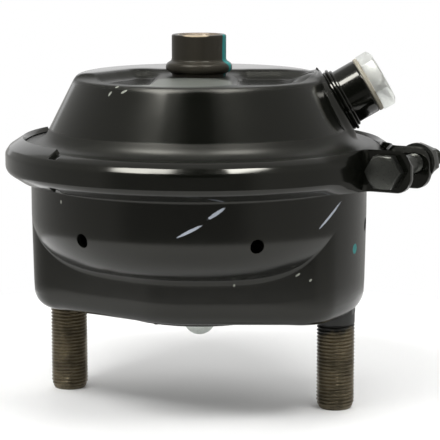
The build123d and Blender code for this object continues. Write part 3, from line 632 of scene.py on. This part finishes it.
def cover():
    edge = CLAMP_R - (SKIRT_Z - JOINT_Z + (CLAMP_T + SEAT_GAP) / COS_SLOPE - CLAMP_HALF_WEB) / TAN_SLOPE
    turns = np.linspace(0, 2 * math.pi, 361)
    front = np.clip(0.5 + 1.4 * np.cos(turns - math.radians(FRONT)), 0, 1)
    r, z = 0, 0
    # the shoulder is tighter at the front, where the step cuts it
    for shoulder, weight in ((3.4, front), (8.0, 1 - front)):
        line = np.array(rounded([(0, COVER_TOP), (cone(COVER_TOP), COVER_TOP), (cone(SKIRT_Z), SKIRT_Z),
                                 (edge, SKIRT_Z), (FLANGE_R, JOINT_Z + clamp_height(FLANGE_R, SEAT_GAP))],
                                [shoulder, 7.0, 3.0], 10))
        run = np.r_[0, np.cumsum(np.hypot(*np.diff(line, axis=0).T))]
        at = np.linspace(BOSS_R, run[-1], 120)
        r = r + np.outer(np.interp(at, run, line[:, 0]), weight)
        z = z + np.outer(np.interp(at, run, line[:, 1]), weight)
    t = np.repeat(turns[None, :], r.shape[0], 0)
    x, y = r * np.cos(t), r * np.sin(t)
    c, s = math.cos(math.radians(COVER_ANGLE)), math.sin(math.radians(COVER_ANGLE))
    px, py = c * x + s * y, c * y - s * x
    for plan, corner, level, bend in [(STEP_PLAN, 5.0, 98.0, 0.9), (RIGHT_POCKET, 3.5, 95.4, 0.9),
                                      (LEFT_POCKET, 3.5, 95.4, 0.9)]:
        away = outside_distance(px, py, rounded_loop(plan, [corner] * len(plan), 4))
        if plan is STEP_PLAN:
            level = level + 0.6 * np.clip(1 - (r - 13) / 27, 0, 1)  # rises a little to the boss
        ground = level + STEP_RISE * soft_max(away, np.zeros_like(away), 1.6)
        z = -soft_max(-z, -ground, bend)
    places = np.stack([x, y, z], -1)
    # land of the side port: the cone is raised to a flat square to the port
    to_port = np.array(port_matrix().inverted())
    from_port = np.array(port_matrix())
    local = places @ to_port[:3, :3].T + to_port[:3, 3]
    off = np.hypot(local[..., 0], local[..., 1])
    share = np.clip((LAND_R - off) / LAND_BEND, 0, 1)
    share = np.where(local[..., 2] > LAND_REACH, share * share * (3 - 2 * share), 0)
    local[..., 2] += share * (LAND_DEPTH - local[..., 2])
    places = local @ from_port[:3, :3].T + from_port[:3, 3]
    piece = sheet_of_points("cover_pressing", places, inside=20)
    press(piece)
    smooth(piece, 40)
    finish(piece, cover_enamel, "chamber", "black_paint", "cover")


# ---- clamp ring -----------------------------------------------------------------
TOP_RUN, TALL_RUN, LOW_RUN, NOTCH_RUN, EDGE_R = 4.4, 7.4, 6.0, 2.2, 3.8
LUG_T, LUG_NEAR, LUG_FAR, LUG_TIP_R, LUG_HALF = 3.0, -10.0, 22.0, 100.5, 8.5
LUG_BEND, LUG_ROUND, LUG_CORNER = 4.0, 6.5, 5.5
FAR_TIP_R, FAR_DROP = 97.0, 2.0
FACET_RUN, FACET_DROP = 1.68, 1.4    # flat between the web and the upper slope
HINGE_NEAR, HINGE_FAR, NOTCH = -110.0, -178.0, 3.0    # hinge section from the bolt, degrees
NEAR_EASE, FAR_EASE = (-24.0, 14.5), (-336.5, -5.0)   # where the channel flattens: from, and over how far
BOLT_HOLE_R = 4.4


def band_section(top_run, low_run, flat, half, thickness, drop=0.0):
    """Closed section of the ring's band as (depth inwards, height): a channel that flattens into a
    lug."""
    high, low = CLAMP_HALF_WEB, -CLAMP_HALF_WEB
    outer = rounded([(top_run, high + top_run * TAN_SLOPE), (FACET_RUN, high + FACET_RUN * TAN_SLOPE),
                     (0, high - FACET_DROP), (0, low), (low_run, low - low_run * TAN_SLOPE)],
                    [2.4, 2.6, EDGE_R], 6)
    dx, dz = thickness * SIN_SLOPE, thickness * COS_SLOPE
    web = clamp_height(CLAMP_R - CLAMP_T, 0)
    inner = rounded([(low_run + dx, low - low_run * TAN_SLOPE + dz), (CLAMP_T, -web), (CLAMP_T, web),
                     (top_run + dx, high + top_run * TAN_SLOPE - dz)], [0.4, 0.4], 8)
    middle = BOLT_Z - JOINT_Z - drop
    points = []
    for line, side, lug_depth in ((outer, 1, 0.0), (inner, -1, thickness)):
        for k, (depth, height) in enumerate(line):
            level = middle + side * half * (1 - 2 * k / (len(outer) - 1))
            points.append((depth * (1 - flat) + lug_depth * flat, height * (1 - flat) + level * flat))
    return points + points[:1]


def band_path():
    """Stations along the band's outside from lug to lug: place, outward normal, zone and the degree
    or depth that it stands at."""
    stations = []
    near_x = math.sqrt((CLAMP_R + LUG_BEND) ** 2 - (LUG_BEND - LUG_NEAR) ** 2)
    far_x = math.sqrt((CLAMP_R + LUG_BEND) ** 2 - (LUG_BEND + LUG_FAR) ** 2)
    near_turn = math.atan2(LUG_NEAR - LUG_BEND, near_x)
    far_turn = math.atan2(LUG_FAR + LUG_BEND, far_x)
    for x in [LUG_TIP_R - d for d in (0, 0.4, 1.2, 2.2, 3.4, 4.6, 5.5, 6.5, 9, 12)] + [near_x + 0.01]:
        stations.append(((x, LUG_NEAR), (0, -1), "near", x))
    for k in range(1, 9):
        t = math.pi / 2 + (near_turn + math.pi / 2) * k / 8
        spot = (near_x + LUG_BEND * math.cos(t), LUG_NEAR - LUG_BEND + LUG_BEND * math.sin(t))
        stations.append((spot, (-math.cos(t), -math.sin(t)), "near", 0))
    hinge = [HINGE_NEAR + NOTCH, HINGE_NEAR + NOTCH + 0.6, HINGE_NEAR, HINGE_NEAR - 0.6,
             HINGE_FAR, HINGE_FAR + 0.6, HINGE_FAR - NOTCH, HINGE_FAR - NOTCH - 0.6]
    arc = np.arange(math.degrees(near_turn) - 0.5, -360 + math.degrees(far_turn), -1.0)
    for a in sorted({round(float(a), 2) for a in [*arc, *hinge]}, reverse=True):
        t = math.radians(a)
        out = (math.cos(t), math.sin(t))
        stations.append(((CLAMP_R * out[0], CLAMP_R * out[1]), out, "ring", a))
    for k in range(0, 9):
        t = far_turn + math.pi + (math.pi / 2 - far_turn) * k / 8
        spot = (far_x + LUG_BEND * math.cos(t), LUG_FAR + LUG_BEND + LUG_BEND * math.sin(t))
        stations.append((spot, (-math.cos(t), -math.sin(t)), "far", 0))
    for d in (12, 9, 8, 7, 6, 5, 4, 3, 2.2, 1.4, 0.8, 0.3, 0):
        if FAR_TIP_R - d > far_x + 0.2:
            stations.append(((FAR_TIP_R - d, LUG_FAR), (0, 1), "far", LUG_TIP_R - d))
    return stations


def clamp_ring():
    rows = []
    ease = lambda v: min(1, max(0, v)) ** 2 * (3 - 2 * min(1, max(0, v)))
    for (x, y), (nx, ny), zone, value in band_path():
        top_run, low_run, flat, half, thickness = TOP_RUN, LOW_RUN, 1.0, LUG_HALF, CLAMP_T
        if zone == "ring":
            if any(-0.3 < value - notch < NOTCH + 0.3 for notch in (HINGE_NEAR, HINGE_FAR - NOTCH)):
                top_run = low_run = NOTCH_RUN
            elif HINGE_FAR < value < HINGE_NEAR:
                top_run = TALL_RUN
            flat = max(ease((value - from_turn) / over) for from_turn, over in (NEAR_EASE, FAR_EASE))
        elif value > LUG_TIP_R - LUG_CORNER:
            tip = (value - LUG_TIP_R + LUG_CORNER) / LUG_CORNER
            half = LUG_HALF - LUG_ROUND + math.sqrt(max(LUG_ROUND ** 2 * (1 - tip ** 2), 1.0))
        if zone != "ring":
            thickness = LUG_T - 0.8 * (value == 0)
        drop = FAR_DROP if zone == "far" or zone == "ring" and value < -180 else 0.0
        section = band_section(top_run, low_run, flat, half, thickness, drop)
        rows.append([(x - nx * d, y - ny * d, JOINT_Z + h) for d, h in section])
    piece = sheet_of_points("clamp_band", np.array(rows))
    edit(piece, (bpy.ops.mesh.fill_holes, {"sides": 0}), OUTWARDS)
    bore(piece, BOLT_HOLE_R, 60, shift_by(BOLT_RADIUS, 6, BOLT_Z) @ turn_by(90, "X"))
    soften(piece, 0.35, 50)
    place(piece, turn_by(BOLT_ANGLE))
    smooth(piece, 50)
    finish(piece, enamel, "chamber", "black_paint", "clamp_ring")


# ---- threads, studs, bolt and plug -----------------------------------------------
def thread_depth(turns, pitch, heights):
    """How far a 60 degree thread is cut below its crest, 0 to 1, along a single-start helix."""
    part = np.mod(heights / pitch - turns / (2 * math.pi), 1.0)
    away = np.abs(part - 0.5) * 2
    return np.clip((away - 0.14) / 0.62, 0, 1)


SAMPLES = 7                    # rows of vertices in each turn of a thread


def threaded_rod(name, radius, pitch, low, lead, columns=56, plain_top=0.0):
    """A rod with a real thread from low up to 0: lead is the depth and length of the bevel at its
    low end, plain_top the length at its top that has no thread."""
    turns = np.linspace(0, 2 * math.pi, columns + 1)
    heights = np.r_[low, np.arange(low + 0.05, 0.0, pitch / SAMPLES), 0.0]
    z, t = np.meshgrid(heights, turns, indexing="ij")
    r = radius - thread_depth(t, pitch, z) * 0.6 * pitch * (z < -plain_top)
    tip = radius - lead[0] * np.clip(1 - (z - low) / lead[1], 0, 1) ** 1.3
    r = np.minimum(r, tip)
    grid = around(r, t, z)
    top = np.zeros((1, columns + 1, 3))
    centre = top + (0, 0, low)
    inner = grid[:1] * np.array([0.7, 0.7, 1])
    piece = sheet_of_points(name, np.concatenate([centre, inner, grid, top]))
    smooth(piece, 30)
    return piece


def mounting_studs():
    both = []
    for side, bare in ((-1, 0.0), (1, 4.2)):
        stud = threaded_rod("stud", 8.0, 1.5, -41.0, (1.35, 3.2), plain_top=bare)
        head = turned_piece("stud head", [(0, 0), (8.3, 0), (8.3, PLATE_TOP), (10.5, PLATE_TOP), (10.5, 11.4),
                                          (9.9, 12), (0, 12)], 64)
        wall = HOUSING_R - WALL - 0.3 - BOWL_TOP * TAN_DRAFT
        plane = {"plane_co": (side * (wall - STUD_X) * MM, 0, 0), "plane_no": (side, 0, 0)}
        edit(head, (bpy.ops.mesh.bisect, {**plane, "use_fill": True, "clear_outer": True}))
        for part in (stud, head):
            place(part, shift_by(side * STUD_X, 0, 0))
            both.append(part)
    piece = join("threaded_studs", both)
    smooth(piece, 30)
    finish(piece, phosphate, "chamber", "phosphated_steel", "mounting_studs")


def hex_block(name, flats, height, bevel, turn=0.0):
    """A forged hexagon standing on z = 0, its corners turned to a cone at the top."""
    block = primitive(name, bpy.ops.mesh.primitive_cylinder_add, vertices=6, depth=height * MM,
                  radius=flats / math.sqrt(3) * MM, location=(0, 0, height / 2 * MM),
                  rotation=(0, 0, math.radians(turn + 30)))
    bpy.ops.object.transform_apply(location=True, rotation=True)
    r, rise = flats * 0.585, flats * 0.085
    turning = turned_piece("turning", [(0, -1), (r, -1), (r, height - rise * 0.75),
                                       (r - rise, height - rise * 0.12), (r - rise - 0.3, height),
                                       (0, height)], 72)
    combine(block, turning, "INTERSECT")
    soften(block, bevel, 28)
    return block


def on_bolt(along):
    """Frame on the bolt's axis, at a distance along it, z from the head's lug to the nut."""
    return turn_by(BOLT_ANGLE) @ shift_by(BOLT_RADIUS, along, BOLT_Z) @ turn_by(-90, "X")


def clamp_bolt():
    head = hex_block("bolt", BOLT_FLATS, 5.5, bevel=0.3)
    place(head, turn_by(180, "X"))
    shank = threaded_rod("shank", BOLT_R, 1.25, -52.0, (0.8, 0.9), columns=40, plain_top=24.0)
    place(shank, turn_by(180, "X"))
    bolt = join("hex_bolt", [head, shank])
    place(bolt, on_bolt(LUG_NEAR))
    smooth(bolt, 30)
    finish(bolt, plated, "chamber", "black_paint", "clamp_bolt")
    nut = hex_block("hex_nut", BOLT_FLATS, 6.8, bevel=0.3, turn=20)
    bore(nut, BOLT_R + 0.05, 30, Matrix.Identity(4))
    place(nut, on_bolt(LUG_FAR + WASHER_T))
    smooth(nut, 30)
    finish(nut, plated, "chamber", "black_paint", "clamp_nut")


def ported_boss(name, outside, top):
    """A round boss with a real internal thread: outside is its line from the foot up to the face."""
    turns = np.linspace(0, 2 * math.pi, 73)
    mouth, radius, depth, drill = 1.95, 7.25, 13.0, 4.5
    low = top - mouth - depth
    line = outside + [(radius + mouth, top), (radius, top - mouth)]
    line += [(radius + 0.35 - thread_depth(turns, PORT_PITCH, np.full_like(turns, z)) * 0.85, z)
             for z in np.arange(top - mouth - 0.1, low, -PORT_PITCH / SAMPLES)]
    line += [(radius, low), (drill, low), (drill, outside[0][1]), outside[0]]
    piece = sheet_of_points(name, np.array([around(r, turns, z) for r, z in line]))
    smooth(piece, 32)
    return piece


def bosses():
    # the axial boss: a foot in the cover, the weld's bead round it, a plain wall and a bevelled rim
    top = 116.0
    bead = rounded([(BOSS_R - 0.1, 94.0), (BOSS_R - 0.1, 99.6), (14.0, 100.9), (14.0, 103.6), (BOSS_R, 105.2),
                    (BOSS_R, top - 1.0)], [0.8, 1.7, 2.0, 1.6], 6)
    rim = [(BOSS_R, top - 0.7), (BOSS_R - 0.2, top - 0.2), (BOSS_R - 0.7, top)]
    axial = ported_boss("axial_boss", bead + rim, top)
    finish(axial, boss_enamel, "chamber", "black_paint", "axial_port_boss")
    axial.data.materials.append(bare_steel)
    for face in axial.data.polygons:
        centre = face.center / MM
        if centre.z > 95 and math.hypot(centre.x, centre.y) < 9.6:
            face.material_index = 1
    # the side boss: three collar rings on the land, a plain wall and a bevelled rim
    line = [(SIDE_BOSS_R, -15.8)]
    for k, out in enumerate((1.7, 2.2, 1.0)):
        base, ring = LAND_DEPTH + 1.3 * k, SIDE_BOSS_R + out
        line += [(ring - 0.35, base + 0.03), (ring, base + 0.4), (ring, base + 0.9),
                 (ring - 0.35, base + 1.27)]
    line += [(SIDE_BOSS_R, z) for z in (-9.6, -9.2, -0.9, -0.6)]
    line += [(SIDE_BOSS_R - 0.2, -0.15), (SIDE_BOSS_R - 0.7, 0.0)]
    side = ported_boss("side_boss", line, 0.0)
    place(side, in_metres(port_matrix()))
    finish(side, enamel, "chamber", "black_paint", "side_port_boss")


def port_plug():
    head = hex_block("plug", 22.0, 6.3, bevel=0.45, turn=15)
    shank = threaded_rod("plug shank", 7.2, PORT_PITCH, -11.8, (1.0, 1.2))
    plug = join("hex_plug", [head, shank])
    place(plug, in_metres(port_matrix()) @ shift_by(0, 0, 1.8))
    smooth(plug, 30)
    finish(plug, zinc, "chamber", "bright_zinc", "port_plug")


def diaphragm():
    """Moulded cup: a wedge bead in the clamped joint, a thin wall along the cover, a flat top with
    two moulded grooves."""
    bead_in, wall, gap = FLANGE_R - 4.8, 2.6, WALL + 0.4
    bead = clamp_height(FLANGE_R, SEAT_GAP + WALL) - SEAT_GAP
    root = clamp_height(bead_in, SEAT_GAP + WALL) - SEAT_GAP
    top, skirt = 92.8, SKIRT_Z - gap
    low_top, low_skirt = top - wall, skirt - wall
    upper = rounded([(0, top), (11, top), (11.6, top - 0.5), (12.2, top), (31, top), (31.6, top - 0.5),
                     (32.2, top), (cone(top, gap), top), (cone(skirt, gap), skirt),
                     (bead_in, JOINT_Z + root)],
                    [0.4] * 6 + [8.0, 7.0], 8)
    lower = rounded([(0, low_top), (cone(low_top, gap + wall), low_top),
                     (cone(low_skirt, gap + wall), low_skirt), (bead_in - wall, JOINT_Z - root + wall),
                     (bead_in, JOINT_Z - root)], [5.4, 9.6, 1.0], 8)
    edge = rounded([upper[-1], (FLANGE_R, JOINT_Z + bead), (FLANGE_R, JOINT_Z - bead), lower[-1]],
                   [0.4, 0.4], 3)
    piece = turned_piece("rubber_diaphragm", upper + edge[1:-1] + lower[::-1], 144)
    smooth(piece, 40)
    finish(piece, cord_rubber, None, "black_rubber", "diaphragm")
    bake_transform(piece)


def return_spring():
    """Conical coil spring whose end turns are closed and ground flat on their seats."""
    wire, low, high, turns = 1.9, 10.7, 84.8, 6
    t = np.linspace(0, turns, turns * 56 + 1)
    climb = np.clip((t - 0.7) / (turns - 1.4), 0, 1)
    climb = climb + np.sin(2 * math.pi * climb) * -0.02
    radius = 44.5 - 20.5 * climb
    angle = t * 2 * math.pi
    line = around(radius, angle, low + (high - low) * climb)
    ahead = np.gradient(line, axis=0)
    ahead /= np.linalg.norm(ahead, axis=1)[:, None]
    out = around(1, angle, 0)
    up = np.cross(ahead, out)
    up *= np.sign(up[:, 2:])
    round_wire = np.linspace(0, 2 * math.pi, 17)
    rows = line[:, None] + wire * (np.cos(round_wire)[:, None] * out[:, None]
                                   + np.sin(round_wire)[:, None] * up[:, None])
    rows[..., 2] = np.clip(rows[..., 2], low - 1.55, high + 1.55)
    rows = np.concatenate([np.repeat(line[:1, None], 17, 1), rows, np.repeat(line[-1:, None], 17, 1)])
    piece = sheet_of_points("coil_spring", rows)
    smooth(piece, 40)
    finish(piece, spring_black, "chamber", "spring_steel", "return_spring")
    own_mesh(piece)


def gaiter():
    """Moulded bellows from the floor opening up to the clip on the rod, each fold rounded, and the
    cuff under the clip, which travels with the rod."""
    foot, top, clip, wall, folds = PLATE_TOP, DISC_UNDER - 7.0, DISC_UNDER - 12.0, 1.2, 8
    pitch = (clip - 1.0 - foot - 2.0) / folds
    outside = [(31.0, foot)]
    for fold in range(folds):
        crest = 29.0 - 12.0 * fold / (folds - 1)
        outside += [(crest, foot + 2.0 + (fold + 0.5) * pitch),
                    (crest - 6.0, foot + 2.0 + (fold + 1) * pitch)]
    outside += [(ROD_R + wall, clip - 0.5), (ROD_R + wall, clip)]
    inside = [(ROD_R + SEAT_GAP, clip), (ROD_R + SEAT_GAP, clip - 1.5)]
    inside += [(r - wall, z) for r, z in reversed(outside[1:-2])] + [(29.0 - wall, foot)]
    outer = rounded(outside, [1.1] * (2 * folds) + [0.4], 4)
    inner = rounded(inside, [0.4] + [1.1] * (2 * folds), 4)
    piece = turned_piece("gaiter_bellows", outer + inner, 96)
    smooth(piece, 40)
    finish(piece, rubber, "chamber", "black_rubber", "gaiter")
    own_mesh(piece)
    section = rounded([(ROD_R + wall, clip), (ROD_R + wall, top), (ROD_R + SEAT_GAP, top),
                       (ROD_R + SEAT_GAP, clip)], [0.3, 0.1], 3)
    cuff = turned_piece("gaiter_cuff", section, 96)
    smooth(cuff, 40)
    finish(cuff, rubber, "pushrod", "black_rubber")


def gaiter_lip():
    """Sealing lip round the opening: a bulged edge with a nub of flash where the mould was filled."""
    section = rounded([(27.8, PLATE_TOP), (27.8, -2.4), (35.5, -2.4), (35.5, 0.55), (32.95, 0.55),
                       (32.95, PLATE_TOP)], [1.0, 1.1, 0.25, 0.1], 5)
    section = np.array(section + section[:1])
    turns = np.linspace(0, 2 * math.pi, 241)
    r, t = np.meshgrid(section[:, 0], turns, indexing="ij")
    z = np.repeat(section[:, 1:], len(turns), 1)
    outer_edge = (r > 34) & (z < 0)
    spread = np.exp(-((np.degrees(t) - 256.0) / 1.3) ** 2)
    waver = 0.15 * np.sin(t * 5 + 0.6) + 0.1 * np.sin(t * 11)
    r = r + outer_edge * (1.3 * spread - 0.25 + waver * 0.6)
    piece = sheet_of_points("gaiter_lip_seal", around(r, t, z))
    smooth(piece, 45)
    finish(piece, rubber, "chamber", "black_rubber", "gaiter_lip")


# ---- the part --------------------------------------------------------------------
lower_housing()
cover()
clamp_ring()
mounting_studs()
clamp_bolt()
bosses()
port_plug()
diaphragm()
return_spring()
gaiter()
gaiter_lip()

# nodes that show as they are built, each with its own finish
for name, material in {
        "stud_plate": enamel, "plug_seal_ring": fibre, "clamp_washer": plated,
        "push_plate": zinc, "pushrod": ground_steel, "spring_seat": zinc,
        "gaiter_retainer": zinc, "gaiter_clip": zinc}.items():
    paint(nodes[name], material)

# ---- studio ---------------------------------------------------------------------
FLOOR_Z = -41.0


def from_front(azimuth, elevation, distance):
    """A place in the studio: azimuth from the camera's side, to its right, degrees and metres."""
    a, e = math.radians(FRONT + azimuth), math.radians(elevation)
    return Vector((math.cos(a) * math.cos(e), math.sin(a) * math.cos(e), math.sin(e))) * distance


def studio():
    floor = primitive("studio_floor", bpy.ops.mesh.primitive_circle_add, vertices=128, radius=0.24,
                  fill_type="NGON", location=(0, 0, FLOOR_Z * MM))
    material, tree, shader, _ = new_material("pale studio floor")
    fill(shader, {"Base Color": srgb("fbfbfa"), "Roughness": 0.9})
    floor.data.materials.append(material)
    # the dim walls and ceiling of the studio, which only gloss shows: grey cloth, a black curtain
    # behind the camera and the bright faces of two soft boxes, all soft at their edges
    room = primitive("studio_walls", bpy.ops.mesh.primitive_uv_sphere_add, segments=144, ring_count=72,
                 radius=1.9)
    material, tree, shader, place_in = new_material("studio cloth, curtain and soft box faces")
    way = add_node(tree, "ShaderNodeVectorRotate", {"Vector": place_in, "Angle": math.radians(-FRONT)},
                   rotation_type="Z_AXIS")
    way = add_node(tree, "ShaderNodeVectorMath", {0: way}, operation="NORMALIZE")
    way = add_node(tree, "ShaderNodeSeparateXYZ", {0: way})
    azimuth = add_node(tree, "ShaderNodeMath", {0: way.outputs[1], 1: way}, operation="ARCTAN2")
    elevation = add_node(tree, "ShaderNodeMath", {0: way.outputs[2]}, operation="ARCSINE")
    level = 0.5
    # from azimuth to azimuth and elevation to elevation, width of the edge, strength
    for left, right, low, high, soft, strength in (
            (-52, 32, -60, 32, 9, 0.24), (-34, 28, 20, 62, 7, 0.24), (-19, 16, 0, 82, 5, 0.02),
            (-66, -36, 49.0, 60, 2.0, 24.0), (-60, -22, 54, 66, 2.0, 24.0),
            (24, 58, 55, 67, 2.0, 30.0)):
        share = 1.0
        for angle, edge, side in ((azimuth, left, 1), (azimuth, right, -1), (elevation, low, 1),
                                  (elevation, high, -1)):
            inside = add_node(tree, "ShaderNodeMapRange",
                              {0: angle, 1: math.radians(edge - side * soft),
                               2: math.radians(edge + side * soft)},
                              interpolation_type="SMOOTHSTEP")
            share = add_node(tree, "ShaderNodeMath", {0: share, 1: inside}, operation="MULTIPLY")
        level = add_node(tree, "ShaderNodeMix", {0: share, 2: level, 3: strength})
    fill(shader, {"Base Color": (0, 0, 0, 1), "Specular IOR Level": 0.0, "Roughness": 1.0,
                  "Emission Color": srgb("fffefa"), "Emission Strength": level})
    room.data.materials.append(material)
    bpy.ops.object.mode_set(mode="EDIT")
    bpy.ops.mesh.select_mode(type="FACE")
    bpy.ops.mesh.select_all(action="DESELECT")
    bpy.ops.object.mode_set(mode="OBJECT")
    # open at the foot and at the back, where the white background shows
    for face in room.data.polygons:
        x, y, z = face.center.normalized()
        azimuth = (math.degrees(math.atan2(y, x)) - FRONT + 180) % 360 - 180
        elevation = math.degrees(math.asin(z))
        face.select = elevation < -32 or (abs(azimuth) > 150 and 4 < elevation < 42)
    bpy.ops.object.mode_set(mode="EDIT")
    bpy.ops.mesh.delete(type="FACE")
    bpy.ops.object.mode_set(mode="OBJECT")
    for rays in ("camera", "diffuse", "shadow", "transmission"):
        setattr(room, "visible_" + rays, False)
    world = bpy.data.worlds.new("studio")
    bpy.context.scene.world = world
    world.use_nodes = True
    tree = world.node_tree
    path = add_node(tree, "ShaderNodeLightPath")
    seen = path.outputs["Is Camera Ray"]
    for ray in ("Is Glossy Ray", "Is Transmission Ray"):
        seen = add_node(tree, "ShaderNodeMath", {0: seen, 1: path.outputs[ray]}, operation="MAXIMUM")
    level = add_node(tree, "ShaderNodeMapRange", {0: seen, 3: 0.6})
    fill(tree.nodes["Background"], {"Color": (1, 1, 1, 1), "Strength": level})
    for name, azimuth, elevation, size, power in [
            ("soft box left", -40, 58, (0.54, 0.40), 8.5),
            ("soft box right", 41, 61, (0.46, 0.34), 5.0),
            ("back light", 170, 55, (1.0, 0.8), 5.0)]:
        light = bpy.data.lights.new(name, "AREA")
        light.shape = "RECTANGLE"
        light.size, light.size_y = size
        light.energy = power
        lamp = bpy.data.objects.new(name, light)
        bpy.context.scene.collection.objects.link(lamp)
        lamp.visible_glossy = False
        lamp.location = from_front(azimuth, elevation, 1.3)
        lamp.rotation_euler = (-lamp.location).to_track_quat("-Z", "Y").to_euler()


def camera():
    data = bpy.data.cameras.new("camera")
    data.sensor_width = 36
    data.sensor_fit = "HORIZONTAL"
    data.lens = 36 * 1800 / 440
    eye = bpy.data.objects.new("camera", data)
    bpy.context.scene.collection.objects.link(eye)
    eye.location = (0.2266, -0.7263, 0.1619)
    eye.rotation_euler = (math.radians(90 - 9.35), 0, math.radians(16.66))
    bpy.context.scene.camera = eye


studio()
camera()
bpy.context.scene.view_settings.view_transform = "Standard"
